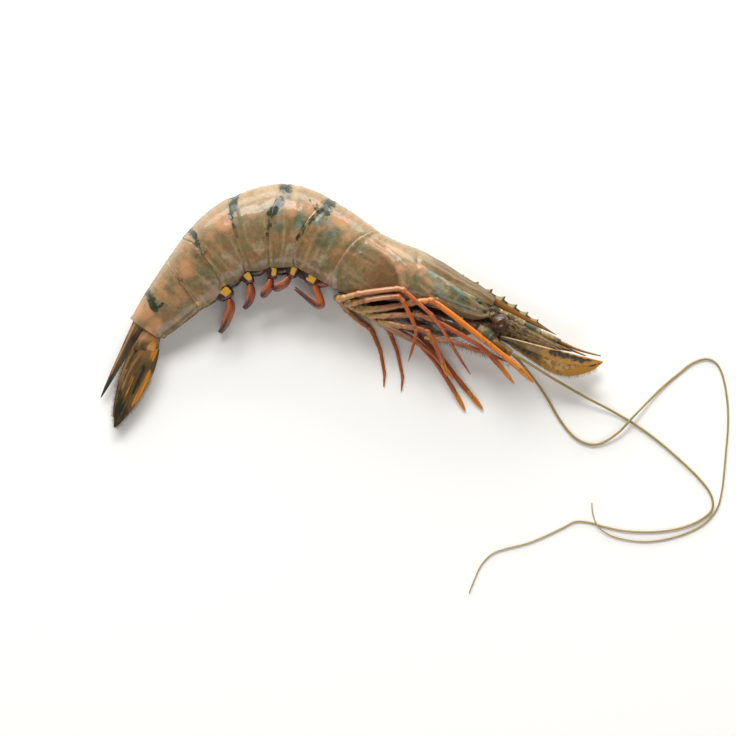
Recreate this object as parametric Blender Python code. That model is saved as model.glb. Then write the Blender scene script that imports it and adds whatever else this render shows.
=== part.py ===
"""A raw tiger prawn of about 200 mm, whole and in its shell, lying on its left flank.

Run with: blender --background --python part.py
Every length below is in millimetres until MM turns it into metres.  +Z is up, towards the
prawn's right side.  +X runs towards the head and +Y towards the arched back.  The origin is
the middle of the flat spot on which the left side of the carapace rests.

Two frames place the pieces.  The head frame is straight: u forward along the carapace,
v towards the back, w towards the right side.  The body line carries s backwards from the
rear of the carapace through the bent abdomen, with v and w across it in the same way.
"""
import math

import bmesh
import bpy
from mathutils import Vector

MM = 0.001
GAP = 0.45                      # clearance between two shell pieces
SETTLE = 0.35                   # how far the soft flank flattens on the surface below

# The pose, seen from above: how the head points, and where its frame starts.
HEAD_POINTS = math.radians(-29.5)
ORIGIN_U = 14.0
ORIGIN_V = -1.0
HEAD_REST = 9.05                # height of the head's middle plane above the surface

# The body line behind ORIGIN_U: the neck, then the six abdomen segments.
NECK_LENGTH = 14.0
NECK_TURN = math.radians(-4.5)
SEGMENT_LENGTHS = (15.3, 12.8, 14.7, 12.2, 12.2, 19.2)
SEGMENT_TURNS = tuple(math.radians(a) for a in (9.0, 24.0, 25.5, 20.0, 6.0, 4.0))

# The abdomen's section at its seven seams, from the carapace to the tail.
SEAM_TOPS = (12.6, 13.8, 15.0, 12.4, 9.6, 8.2, 6.2)
SEAM_DEPTHS = (11.6, 12.0, 13.4, 12.4, 11.6, 10.4, 6.4)
SEAM_HALVES = (9.4, 9.8, 10.0, 9.4, 8.4, 7.0, 4.8)
# How far each seam lies behind its own station at the back, flank, low flank and lobe tip.
SEAM_SWEEPS = (
    (-2.6, 3.0, 2.8, 0.0),
    (-1.5, 3.7, 4.0, 1.2),
    (-3.0, 2.0, 2.7, 3.0),
    (-2.8, -0.8, 0.5, 2.2),
    (0.7, 0.0, 1.4, 3.0),
    (-2.0, 0.0, 1.6, 3.2),
    (0.4, 0.6, 0.4, -0.6),
)
BELLY_SWEEP = 0.6               # share of the lobe tip's sweep that is left at the belly
LOBE_DEPTHS = (0.03, 0.04, 0.06, 0.12, 0.13, 0.02)      # share that each side lobe hangs lower
FLARE = 0.24                    # each rear rim stands this far outside the next front rim
BELLY_RISE = 0.28               # share of the depth that the belly lies above the lobe tips

# The carapace in the head frame: u, top, waist, margin and half width.
CARAPACE_RINGS = (
    (0.0, 12.6, 0.0, -11.6, 9.4),
    (4.5, 12.9, 0.0, -10.9, 9.55),
    (9.5, 13.3, 0.0, -9.4, 9.6),
    (14.5, 13.7, 0.2, -7.2, 9.55),
    (20.0, 14.0, 1.2, -4.5, 9.5),
    (26.0, 14.1, 2.8, -1.8, 8.6),
    (32.0, 14.0, 4.6, 0.1, 7.6),
    (38.0, 13.8, 5.8, 1.1, 6.5),
    (44.0, 13.5, 6.7, 2.0, 5.5),
    (47.5, 13.0, 7.4, 3.4, 4.5),
    (49.5, 12.4, 8.4, 5.2, 3.2),
)
RING_POINTS = 24
LOBE_T = 0.75                   # where the lobe tip lies on the half outline, 0 back to 1 belly
LOBE_TUCK = 0.3                 # share of the half width that the flank draws in down there

# The rostrum: a thin blade that carries on the line of the back.
ROSTRUM_TOP = ((28.0, 13.4), (38.0, 13.6), (50.0, 13.8), (60.0, 13.3), (68.0, 12.7))
ROSTRUM_TIP = (73.5, 12.3)
ROSTRUM_BASE = ((68.0, 11.6), (60.0, 10.7), (50.0, 10.4), (40.0, 10.4), (28.0, 11.0))
ROSTRUM_HALF = 0.55
TOOTH_STARTS = (31.5, 37.0, 42.5, 47.5, 52.5, 57.5, 62.0)
TOOTH_LENGTH = 4.2
TOOTH_HEIGHT = 1.6

# The tail: frame at the last seam, a tailward, v to the back.
TAIL_DROP = 0.05                # the tail fan sinks towards the surface by this much a length
TELSON_TURN = math.radians(8.1)
TELSON_ROOT = (1.2, 3.1)
TELSON_LENGTH = 27.6
TELSON_HEIGHT = 4.2
TELSON_WIDTH = 5.8
UROPOD_TURN = math.radians(12.7)
UROPOD_ROOT = (1.2, -2.2)
STALK_LENGTH = 5.0
EXOPOD = {"length": 28.5, "width": 8.4, "v": -1.9, "w": 3.2}
ENDOPOD = {"length": 25.5, "width": 6.4, "v": 1.5, "w": 1.75}
BLADE_THICK = 0.8
BLADE_ROOT = 0.62               # breadth of a blade at its root, as a share of the greatest
BLADE_FULLEST = 0.32            # how far along its length a blade is broadest

# The body under the shield, from which the legs spring: u, top, bottom and half width.
THORAX_RINGS = (
    (2.5, -11.7, -12.3, 3.0),
    (8.0, -10.4, -12.2, 4.6),
    (14.0, -7.9, -12.1, 4.6),
    (20.0, -4.9, -11.7, 4.3),
    (26.0, -2.3, -10.7, 3.8),
    (32.0, -0.4, -9.5, 3.4),
    (38.0, 0.6, -7.9, 3.2),
    (44.0, 1.5, -5.6, 3.2),
    (48.5, 2.6, -3.2, 2.4),
)

# The head's own pieces, in the head frame, right side; the left ones are their mirror images.
EYE = (54.6, 6.3, 5.9)
EYE_RADIUS = 3.0
EYE_STALK = ((51.0, 7.2, 2.9, 1.4), (51.9, 6.95, 3.9, 1.7))
ANTENNA_BASE = (
    (48.9, 0.6, 4.2, 2.0),
    (51.0, 0.4, 4.2, 2.7),
    (54.0, 0.0, 4.3, 2.6),
    (57.0, -0.7, 4.5, 1.9),
    (63.2, -0.8, 4.3, 1.1),
)
ANTENNULE = (
    (52.8, 9.5, 2.3, 1.2),
    (55.0, 9.4, 2.3, 1.5),
    (62.0, 9.9, 2.2, 1.4),
    (68.0, 10.3, 2.1, 1.2),
    (75.5, 10.7, 2.0, 1.0),
    (76.5, 10.8, 2.0, 0.5),
    (83.0, 11.6, 2.4, 0.35),
    (90.0, 13.4, 3.0, 0.2),
)
# The scale's outer margin runs straight from root to tip; its blade hangs inwards from it.
SCALE_ROOT = (57.0, 2.6, 5.4)
SCALE_TIP = (91.3, 12.0, 4.6)
SCALE_WIDTH = 8.6
SCALE_TILT = math.radians(65.0)
SCALE_STATIONS = (0.0, 0.12, 0.25, 0.42, 0.58, 0.72, 0.86, 0.95, 1.0)
SCALE_BREADTHS = (0.16, 0.28, 0.52, 0.8, 1.0, 0.96, 0.7, 0.38, 0.08)
MAXILLIPED = (
    (34.6, -10.4, 2.4, 1.1),
    (37.0, -9.6, 2.5, 1.2),
    (44.0, -7.2, 2.5, 1.1),
    (54.0, -5.2, 2.5, 1.0),
    (64.0, -3.8, 2.5, 0.5),
)

# Walking legs: u, v, w and radius of each joint, first the right leg and then the left.
LEGS = {
    "leg_5_right": (
        (2.0, -13.7, 1.6, 1.2), (3.0, -13.6, 6.0, 1.2), (4.2, -12.7, 8.6, 1.1),
        (8.0, -8.9, 10.3, 1.0), (13.0, -5.0, 10.7, 0.95), (18.5, -1.0, 10.7, 0.95),
        (20.3, -0.3, 10.7, 1.0), (26.0, -1.5, 10.8, 0.75), (32.9, -2.9, 9.6, 0.7),
        (39.0, -5.6, 7.0, 0.65), (45.5, -9.2, 4.4, 0.6), (50.0, -11.6, 1.6, 0.5),
        (54.5, -13.8, -0.8, 0.22),
    ),
    "leg_4_right": (
        (6.2, -13.6, 1.6, 1.2), (6.8, -13.4, 5.4, 1.2), (8.4, -12.2, 8.0, 1.1),
        (11.5, -9.3, 9.8, 1.0), (16.0, -5.8, 10.2, 0.95), (20.2, -2.9, 10.4, 0.95),
        (22.2, -3.5, 10.4, 0.85), (27.0, -6.8, 9.8, 0.7), (31.0, -9.8, 8.6, 0.7),
        (32.4, -13.5, 6.4, 0.6), (33.4, -17.6, 4.2, 0.5), (34.0, -20.5, 2.6, 0.2),
    ),
    "leg_3_right": (
        (10.4, -13.5, 1.6, 1.2), (11.2, -13.1, 4.8, 1.2), (14.0, -11.6, 6.5, 1.15),
        (18.0, -8.8, 6.7, 1.15), (22.5, -4.9, 6.9, 1.1), (25.0, -2.9, 8.3, 1.1),
        (27.2, -1.1, 8.7, 1.1), (30.5, 1.2, 9.2, 1.15), (34.0, 1.1, 9.0, 1.05),
        (40.0, 0.4, 8.7, 1.0), (52.3, -1.6, 8.1, 1.0), (60.6, -2.8, 7.3, 0.9),
        (64.0, -3.4, 6.9, 1.1), (68.0, -4.1, 6.4, 1.0), (74.5, -5.9, 5.6, 0.3),
    ),
    "leg_2_right": (
        (14.6, -13.3, 1.6, 1.15), (15.6, -12.9, 4.4, 1.15), (19.0, -11.2, 5.7, 1.05),
        (24.0, -8.0, 5.9, 1.0), (29.6, -4.9, 6.2, 0.95), (31.5, -4.6, 6.2, 0.9),
        (38.7, -3.8, 5.7, 0.85), (51.6, -3.9, 5.6, 0.8), (56.0, -4.7, 5.3, 0.8),
        (59.0, -5.6, 5.0, 0.95), (63.0, -7.0, 4.6, 0.85), (69.0, -9.4, 3.6, 0.25),
    ),
    "leg_1_right": (
        (18.8, -13.0, 1.6, 1.05), (20.2, -12.7, 3.8, 1.05), (25.0, -11.6, 5.2, 1.0),
        (31.0, -9.2, 5.4, 0.95), (35.0, -8.4, 5.7, 0.95), (40.0, -11.8, 5.0, 0.8),
        (42.0, -13.2, 4.4, 0.9), (44.5, -15.2, 3.4, 0.8), (48.0, -18.4, 1.8, 0.25),
    ),
    "leg_5_left": (
        (2.0, -13.7, -1.6, 1.2), (3.4, -13.9, -5.2, 1.15), (7.0, -15.4, -7.6, 1.05),
        (12.0, -16.5, -7.9, 0.95), (17.0, -17.0, -8.0, 0.95), (18.6, -17.7, -8.0, 0.9),
        (24.0, -22.0, -8.2, 0.7), (29.0, -28.0, -8.4, 0.6), (31.0, -32.0, -8.7, 0.22),
    ),
    "leg_4_left": (
        (6.2, -13.6, -1.6, 1.2), (8.0, -13.7, -4.8, 1.15), (12.0, -13.8, -6.9, 1.05),
        (22.0, -14.0, -7.1, 0.95), (23.6, -14.8, -7.1, 0.9), (29.0, -19.2, -7.8, 0.7),
        (35.0, -26.0, -8.3, 0.6), (37.0, -30.5, -8.7, 0.22),
    ),
    "leg_3_left": (
        (10.4, -13.5, -1.6, 1.2), (12.4, -13.1, -3.9, 1.15), (20.0, -11.8, -5.3, 1.1),
        (31.0, -10.4, -6.2, 1.1), (33.0, -10.8, -6.4, 1.05), (42.0, -13.4, -7.2, 0.95),
        (51.0, -17.0, -7.7, 0.9), (54.0, -18.2, -7.8, 1.05), (59.0, -20.1, -7.9, 0.9),
        (64.5, -22.2, -8.1, 0.3),
    ),
    "leg_2_left": (
        (14.6, -13.3, -1.6, 1.1), (17.0, -13.9, -2.9, 1.05), (26.0, -13.8, -4.3, 1.0),
        (34.0, -13.3, -5.0, 0.95), (35.8, -13.8, -5.2, 0.9), (42.0, -16.0, -5.6, 0.8),
        (48.0, -19.0, -6.5, 0.8), (50.5, -20.3, -6.9, 0.95), (54.0, -22.3, -7.5, 0.85),
        (59.5, -25.6, -8.2, 0.25),
    ),
    "leg_1_left": (
        (19.6, -13.1, -1.0, 1.0), (26.0, -12.8, -2.0, 0.95), (32.0, -12.9, -2.5, 0.9),
        (34.8, -13.3, -2.7, 0.85), (40.0, -14.2, -3.2, 0.75), (42.5, -14.9, -3.6, 0.85),
        (46.0, -16.2, -4.2, 0.75), (50.5, -18.0, -5.0, 0.25),
    ),
}

# Swimming legs: place behind the root and below the lobe tips, half breadth, half thickness.
SWIMMERET = (
    (0.0, -0.1, 1.2, 0.9),
    (-0.3, -1.3, 1.9, 1.2),
    (0.2, -3.6, 1.7, 1.2),
    (2.2, -5.8, 1.5, 0.8),
    (7.0, -7.4, 1.5, 0.6),
    (9.8, -8.0, 1.1, 0.5),
    (12.4, -8.4, 0.4, 0.3),
)
FIRST_SWIMMERET = (
    (0.0, -0.1, 1.2, 0.9),
    (-1.2, -1.4, 1.8, 1.0),
    (-4.2, -3.4, 1.5, 0.9),
    (-8.0, -5.8, 1.1, 0.6),
    (-8.9, -6.9, 1.0, 0.5),
    (-7.6, -7.8, 1.0, 0.5),
    (-3.0, -7.6, 1.2, 0.6),
    (4.0, -6.8, 0.5, 0.3),
)
SWIMMERET_SIDE = 0.44           # how far out they spring, as a share of the half width
SWIMMERET_ROOTS = (8.8, 17.8, 30.9, 46.2, 59.8)         # where each springs from, along the body

# The two long feelers: free whips that come down to the surface and lie on it in wide curves.
# X, Y and height of the route's points, then the radius at the root and at the tip.
WHIPS = {
    "antenna_right": (
        (43.5, -24.4, 13.2), (50.0, -28.2, 11.4), (57.0, -32.5, 8.5), (63.5, -36.2, 5.6),
        (69.5, -39.5, 3.2), (78.0, -43.9, 1.3), (86.5, -49.0, 0.7), (94.0, -54.5, 0.6),
        (101.5, -61.0, 0.6), (107.6, -67.0, 0.6), (111.6, -72.5, 0.5), (112.0, -77.5, 0.5),
        (108.2, -81.0, 0.5), (102.8, -83.4, 0.5), (96.0, -84.8, 0.5), (89.2, -85.2, 0.5),
        (81.8, -84.8, 0.5), (75.0, -83.4, 0.4), (69.5, -81.9, 0.4), (65.0, -81.7, 0.4),
        (61.0, -83.7, 0.4), (55.2, -86.5, 0.4), (48.5, -89.2, 0.4), (41.7, -90.9, 0.4),
        (36.9, -92.6, 0.4), (33.1, -96.3, 0.4), (30.8, -101.0, 0.4), (28.8, -106.0, 0.4),
    ),
    "antenna_left": (
        (43.5, -24.4, 4.6), (47.0, -28.0, 3.6), (51.0, -33.0, 2.4), (55.3, -39.2, 1.4),
        (59.7, -46.6, 0.8), (64.1, -52.1, 0.7), (68.9, -54.9, 0.7), (74.0, -54.8, 0.8),
        (79.8, -51.1, 1.8), (84.2, -46.4, 2.2), (89.3, -41.2, 1.4), (95.0, -35.6, 0.6),
        (100.5, -31.0, 0.5), (105.0, -27.5, 0.5), (109.5, -25.9, 0.5), (113.0, -27.0, 0.5),
        (115.2, -30.4, 0.5), (116.6, -36.0, 0.5), (117.4, -42.8, 0.5), (117.4, -50.0, 0.5),
        (116.8, -57.0, 0.5), (116.2, -64.0, 0.5), (115.4, -71.0, 0.4), (113.8, -77.0, 0.4),
        (110.0, -81.8, 0.4), (104.2, -85.2, 0.4), (97.4, -87.4, 0.4), (90.0, -88.5, 0.4),
        (83.2, -88.0, 0.4), (77.2, -86.4, 0.5), (73.0, -83.4, 1.1), (71.2, -79.3, 0.6),
        (70.8, -75.2, 0.35),
    ),
}
WHIP_ROOT = 0.5
WHIP_TIP = 0.2

COLLECTION = "tiger_prawn"


def material(name, colour, roughness):
    """A Principled material in one colour, given as sRGB hex."""
    made = bpy.data.materials.new(name)
    made.use_nodes = True
    shader = made.node_tree.nodes["Principled BSDF"]
    channels = [int(colour[i:i + 2], 16) / 255 for i in (1, 3, 5)]
    linear = [c / 12.92 if c <= 0.04045 else ((c + 0.055) / 1.055) ** 2.4 for c in channels]
    shader.inputs["Base Color"].default_value = (*linear, 1.0)
    shader.inputs["Roughness"].default_value = roughness
    return made


def clear_scene():
    """Remove what the scene holds and return the prawn's own collection."""
    for thing in list(bpy.data.objects):
        bpy.data.objects.remove(thing, do_unlink=True)
    collection = bpy.data.collections.new(COLLECTION)
    bpy.context.scene.collection.children.link(collection)
    return collection


def direction(angle):
    """Unit vector in the plane of the surface."""
    return Vector((math.cos(angle), math.sin(angle), 0.0))


def blend(stations, values, at):
    """Value at a place between stations, on a straight run from one to the next."""
    if at <= stations[0]:
        return values[0]
    for i in range(1, len(stations)):
        if at <= stations[i]:
            share = (at - stations[i - 1]) / (stations[i] - stations[i - 1])
            return values[i - 1] + (values[i] - values[i - 1]) * share
    return values[-1]


def head_point(u, v, w):
    """World place of a point in the straight head frame."""
    forward = direction(HEAD_POINTS)
    back = direction(HEAD_POINTS + math.pi / 2)
    flat = forward * (u - ORIGIN_U) + back * (v - ORIGIN_V)
    return Vector((flat.x, flat.y, HEAD_REST + w)) * MM


SEAM_STATIONS = tuple(sum(SEGMENT_LENGTHS[:i]) for i in range(len(SEGMENT_LENGTHS) + 1))


def body_line(s):
    """Place (mm) and tailward heading of the body line, s behind the carapace."""
    heading = HEAD_POINTS + math.pi
    place = direction(HEAD_POINTS + math.pi / 2) * -ORIGIN_V
    left = s + NECK_LENGTH
    if left <= 0:
        return place + direction(heading) * left, heading
    for length, turn in ((NECK_LENGTH, NECK_TURN), *zip(SEGMENT_LENGTHS, SEGMENT_TURNS)):
        step = min(left, length)
        swing = turn * step / length
        chord = 2 * math.sin(swing / 2) * length / turn
        place = place + direction(heading + swing / 2) * chord
        heading += swing
        left -= step
        if left <= 0:
            break
    return place + direction(heading) * max(left, 0.0), heading


def rest_height(s):
    """Height of the body line above the surface, so that the whole flank touches it."""
    if s <= 0:
        return HEAD_REST
    return blend(SEAM_STATIONS, SEAM_HALVES, s) - SETTLE


def body_point(s, v, w):
    """World place of a point across the body line, no lower than the surface."""
    place, heading = body_line(s)
    place = place + direction(heading - math.pi / 2) * v
    return Vector((place.x, place.y, max(rest_height(s) + w, 0.0))) * MM


def outline(t, top, waist, bottom, half, rise):
    """Half section of a shell: (v, w) from the back at t = 0 to the belly at t = 1."""
    if t <= 0.5:
        angle = math.pi * t
        return waist + (top - waist) * math.cos(angle), half * math.sin(angle) ** 0.9
    if t <= LOBE_T:
        angle = math.pi / 2 * (t - 0.5) / (LOBE_T - 0.5)
        drop = (waist - bottom) * math.sin(angle)
        return waist - drop, half * (1 - LOBE_TUCK * (1 - math.cos(angle)))
    angle = math.pi / 2 * (t - LOBE_T) / (1 - LOBE_T)
    edge = half * (1 - LOBE_TUCK)
    return bottom + rise * (1 - math.cos(angle)), edge * math.cos(angle)


def ring_turns():
    """The t and side of each point round a section."""
    half = RING_POINTS // 2
    right = [(i / half, 1.0) for i in range(half + 1)]
    left = [(i / half, -1.0) for i in range(half - 1, 0, -1)]
    return right + left


def sweep(seam, t):
    """How far a seam lies behind its station at t on the outline."""
    stops = (0.0, 0.5, 0.62, LOBE_T, 1.0)
    shifts = (*SEAM_SWEEPS[seam], SEAM_SWEEPS[seam][-1] * BELLY_SWEEP)
    for i in range(1, len(stops)):
        if t <= stops[i]:
            share = (t - stops[i - 1]) / (stops[i] - stops[i - 1])
            ease = share * share * (3 - 2 * share)
            return shifts[i - 1] + (shifts[i] - shifts[i - 1]) * ease
    return 0.0


def loft(collection, name, rings, finish):
    """Join rings of points into one closed solid, each end closed by a fan."""
    work = bmesh.new()
    rows = [[work.verts.new(point) for point in ring] for ring in rings]
    count = len(rings[0])
    for near, far in zip(rows, rows[1:]):
        for i in range(count):
            j = (i + 1) % count
            work.faces.new((near[i], near[j], far[j], far[i]))
    for row in (rows[0], rows[-1]):
        middle = work.verts.new(sum((vert.co for vert in row), Vector()) / count)
        for i in range(count):
            work.faces.new((row[i], row[(i + 1) % count], middle))
    bmesh.ops.recalc_face_normals(work, faces=work.faces)
    mesh = bpy.data.meshes.new(name)
    work.to_mesh(mesh)
    work.free()
    return keep(collection, name, mesh, finish)


def keep(collection, name, mesh, finish):
    """Make the named object, smooth but for its sharp rims."""
    mesh.materials.append(finish)
    mesh.shade_smooth()
    mesh.set_sharp_from_angle(angle=math.radians(50))
    made = bpy.data.objects.new(name, mesh)
    collection.objects.link(made)
    return made


def make_segment(collection, index, finish):
    """One abdomen segment, between seam index and the next."""
    rings = []
    steps = 5
    for step in range(steps + 1):
        share = step / steps
        grow = FLARE * (share ** 3 - 0.5)
        lobe = 1 + LOBE_DEPTHS[index] * math.sin(math.pi * share)
        ring = []
        for t, side in ring_turns():
            front = SEAM_STATIONS[index] + sweep(index, t) + GAP
            rear = SEAM_STATIONS[index + 1] + sweep(index + 1, t)
            s = front + (rear - front) * share
            at = SEAM_STATIONS[index] + SEGMENT_LENGTHS[index] * share
            depth = (blend(SEAM_STATIONS, SEAM_DEPTHS, at) + grow) * lobe
            top = blend(SEAM_STATIONS, SEAM_TOPS, at) + grow
            half = blend(SEAM_STATIONS, SEAM_HALVES, at) + grow
            v, w = outline(t, top, 0.0, -depth, half, depth * BELLY_RISE)
            ring.append(body_point(s, v, w * side))
        rings.append(ring)
    return loft(collection, f"segment_{index + 1}", rings, finish)


def rostrum_outline():
    """The blade's side view in the head frame: forward along the teeth, back along the base."""
    us = [u for u, v in ROSTRUM_TOP] + [ROSTRUM_TIP[0]]
    vs = [v for u, v in ROSTRUM_TOP] + [ROSTRUM_TIP[1]]
    points = [ROSTRUM_TOP[0]]
    for start in TOOTH_STARTS:
        tip = start + TOOTH_LENGTH
        points.append((start, blend(us, vs, start)))
        points.append((tip, blend(us, vs, tip) + TOOTH_HEIGHT))
        points.append((tip - 0.5, blend(us, vs, tip) + 0.2))
    points.append((ROSTRUM_TOP[-1][0] + 0.5, ROSTRUM_TOP[-1][1]))
    points.append(ROSTRUM_TIP)
    points.extend(ROSTRUM_BASE)
    return points


def make_rostrum():
    """The toothed blade as a mesh object of its own, to be joined to the carapace."""
    work = bmesh.new()
    sides = []
    for side in (-1.0, 1.0):
        row = []
        for u, v in rostrum_outline():
            thin = ROSTRUM_HALF * (1.0 - 0.5 * max(u - 50.0, 0.0) / 23.5)
            row.append(work.verts.new(head_point(u, v, side * thin)))
        sides.append(row)
        work.faces.new(row)
    count = len(sides[0])
    for i in range(count):
        j = (i + 1) % count
        work.faces.new((sides[0][i], sides[0][j], sides[1][j], sides[1][i]))
    bmesh.ops.triangulate(work, faces=work.faces)
    bmesh.ops.recalc_face_normals(work, faces=work.faces)
    mesh = bpy.data.meshes.new("rostrum_blade")
    work.to_mesh(mesh)
    work.free()
    return bpy.data.objects.new("rostrum_blade", mesh)


def make_carapace(collection, finish):
    """The one shield over head and thorax, its rear edge on the first seam."""
    rings = []
    for u, top, waist, margin, half in CARAPACE_RINGS:
        ring = []
        for t, side in ring_turns():
            s = -u
            if u < 9.0:
                s += sweep(0, t) * (1 - u / 9.0)
            v, w = outline(t, top, waist, margin, half, 0.08 * (top - margin))
            ring.append(body_point(s, v, w * side))
        rings.append(ring)
    shield = loft(collection, "carapace", rings, finish)
    blade = make_rostrum()
    collection.objects.link(blade)
    join = shield.modifiers.new("rostrum", "BOOLEAN")
    join.operation = "UNION"
    join.object = blade
    joined = bpy.data.meshes.new_from_object(shield.evaluated_get(bpy.context.evaluated_depsgraph_get()))
    bpy.data.objects.remove(shield, do_unlink=True)
    bpy.data.objects.remove(blade, do_unlink=True)
    joined.materials.clear()
    return keep(collection, "carapace", joined, finish)


def side_name(side):
    """Right for the upper side, left for the one below."""
    return "right" if side > 0 else "left"


def make_tube(collection, name, points, radii, finish):
    """A round limb: a curve through points (m) with its own radius (mm) at each."""
    curve = bpy.data.curves.new(name, "CURVE")
    curve.dimensions = "3D"
    curve.bevel_depth = MM
    curve.bevel_resolution = 1
    curve.use_fill_caps = True
    spline = curve.splines.new("POLY")
    spline.points.add(len(points) - 1)
    for knot, point, radius in zip(spline.points, points, radii):
        knot.co = (*point, 1.0)
        knot.radius = radius
    curve.materials.append(finish)
    made = bpy.data.objects.new(name, curve)
    collection.objects.link(made)
    return made


def make_limb(collection, name, joints, finish, side=1.0):
    """A limb from its joints in the head frame."""
    points = [head_point(u, v, w * side) for u, v, w, radius in joints]
    radii = [joint[3] for joint in joints]
    return make_tube(collection, name, points, radii, finish)


def oval(centre, across, through, count=10):
    """A ring of points round a centre, with its two half axes as vectors."""
    turns = [2 * math.pi * i / count for i in range(count)]
    return [centre + across * math.cos(turn) + through * math.sin(turn) for turn in turns]


def leaf_breadth(share, root, fullest):
    """Breadth of a blade along its length: a stalk-like root, a full middle, a blunt point."""
    if share < fullest:
        return root + (1 - root) * math.sin(math.pi / 2 * share / fullest)
    return max(math.cos(math.pi / 2 * (share - fullest) / (1 - fullest)) ** 0.7, 0.06)


def make_thorax(collection, finish):
    """The soft body below the shield."""
    rings = []
    for u, top, bottom, half in THORAX_RINGS:
        across = head_point(u, top, 0.0) - head_point(u, bottom, 0.0)
        centre = head_point(u, (top + bottom) / 2, 0.0)
        rings.append(oval(centre, across / 2, Vector((0.0, 0.0, half * MM)), 12))
    return loft(collection, "thorax", rings, finish)


def tail_point(root, turn, a, v, w):
    """World place in a frame hung on the last seam and turned from the body line."""
    place, heading = body_line(SEAM_STATIONS[-1])
    place = place + direction(heading) * root[0] + direction(heading - math.pi / 2) * root[1]
    heading += turn
    place = place + direction(heading) * a + direction(heading - math.pi / 2) * v
    height = rest_height(SEAM_STATIONS[-1]) - TAIL_DROP * (root[0] + a) + w
    return Vector((place.x, place.y, max(height, 0.0))) * MM


def make_telson(collection, finish):
    """The spike at the end of the tail: three-sided, grooved along the back."""
    rings = []
    for share in (0.0, 0.15, 0.35, 0.6, 0.85, 1.0):
        a = TELSON_LENGTH * share
        size = (1 - share) ** 0.75 + 0.06
        high = TELSON_HEIGHT / 2 * size
        wide = TELSON_WIDTH / 2 * size
        profile = ((0.72, 0.0), (1.0, 0.34), (0.5, 0.9), (-0.3, 1.0), (-0.95, 0.45), (-1.0, 0.0))
        right = [(v * high, w * wide) for v, w in profile]
        left = [(v, -w) for v, w in reversed(right[1:-1])]
        rings.append([tail_point(TELSON_ROOT, TELSON_TURN, a, v, w) for v, w in right + left])
    return loft(collection, "telson", rings, finish)


def make_uropod(collection, side, finish):
    """One side of the tail fan: the stalk, then the outer and the inner blade."""
    name = side_name(side)
    rings = []
    for share, high, wide in ((0.0, 2.2, 0.9), (0.3, 3.0, 1.2), (0.8, 3.2, 1.2), (1.0, 2.6, 0.9)):
        centre = tail_point(UROPOD_ROOT, UROPOD_TURN, STALK_LENGTH * share, -0.3, 2.9 * side)
        up = tail_point(UROPOD_ROOT, UROPOD_TURN, STALK_LENGTH * share, -0.3 + high, 2.9 * side)
        rings.append(oval(centre, up - centre, Vector((0.0, 0.0, wide * MM)), 10))
    loft(collection, f"uropod_stalk_{name}", rings, finish)
    for part, blade in (("exopod", EXOPOD), ("endopod", ENDOPOD)):
        rings = []
        for share in (0.0, 0.12, 0.3, 0.5, 0.7, 0.85, 0.95, 1.0):
            a = STALK_LENGTH + GAP + blade["length"] * share
            half = blade["width"] / 2 * leaf_breadth(share, BLADE_ROOT, BLADE_FULLEST)
            v = blade["v"] * (1 - 0.5 * share)
            w = blade["w"] * side * (1 - 0.35 * share)
            centre = tail_point(UROPOD_ROOT, UROPOD_TURN, a, v, w)
            up = tail_point(UROPOD_ROOT, UROPOD_TURN, a, v + half, w)
            thick = BLADE_THICK / 2 * (1 - 0.5 * share)
            rings.append(oval(centre, up - centre, Vector((0.0, 0.0, thick * MM)), 10))
        loft(collection, f"uropod_{part}_{name}", rings, finish)


def make_eye(collection, side, finish, stalk_finish):
    """A round eye on its short stalk."""
    name = side_name(side)
    work = bmesh.new()
    bmesh.ops.create_uvsphere(work, u_segments=14, v_segments=9, radius=EYE_RADIUS * MM)
    mesh = bpy.data.meshes.new(f"eye_{name}")
    work.to_mesh(mesh)
    work.free()
    eye = keep(collection, f"eye_{name}", mesh, finish)
    eye.location = head_point(EYE[0], EYE[1], EYE[2] * side)
    make_limb(collection, f"eye_stalk_{name}", EYE_STALK, stalk_finish, side)


def make_scale(collection, side, finish):
    """The long scale beside the feeler's root: a straight outer margin and a rounded inner one."""
    root = head_point(SCALE_ROOT[0], SCALE_ROOT[1], SCALE_ROOT[2] * side)
    tip = head_point(SCALE_TIP[0], SCALE_TIP[1], SCALE_TIP[2] * side)
    lateral = Vector((0.0, 0.0, side))
    back = lateral.cross(tip - root).normalized() * side
    across = lateral * math.cos(SCALE_TILT) + back * math.sin(SCALE_TILT)
    through = across.cross(tip - root).normalized()
    rings = []
    for share, breadth in zip(SCALE_STATIONS, SCALE_BREADTHS):
        half = SCALE_WIDTH / 2 * breadth * MM
        thick = (0.5 - 0.25 * share) * MM
        rings.append(oval(root.lerp(tip, share) - across * half, across * half, through * thick, 10))
    return loft(collection, f"antennal_scale_{side_name(side)}", rings, finish)


def make_swimmeret(collection, index, side, finish):
    """A swimming leg of one segment, folded back along the belly."""
    root = SWIMMERET_ROOTS[index]
    depth = blend(SEAM_STATIONS, SEAM_DEPTHS, root) * (1 + LOBE_DEPTHS[index])
    path = FIRST_SWIMMERET if index == 0 else SWIMMERET
    w = blend(SEAM_STATIONS, SEAM_HALVES, root) * SWIMMERET_SIDE * side
    places = [body_point(root + ds, dv - depth, w) for ds, dv, b, t in path]
    rings = []
    for i, (ds, dv, breadth, thick) in enumerate(path):
        along = places[min(i + 1, len(places) - 1)] - places[max(i - 1, 0)]
        through = Vector((-along.y, along.x, 0.0)).normalized() * thick * MM
        rings.append(oval(places[i], Vector((0.0, 0.0, breadth * MM)), through, 8))
    return loft(collection, f"swimmeret_{index + 1}_{side_name(side)}", rings, finish)


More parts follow.
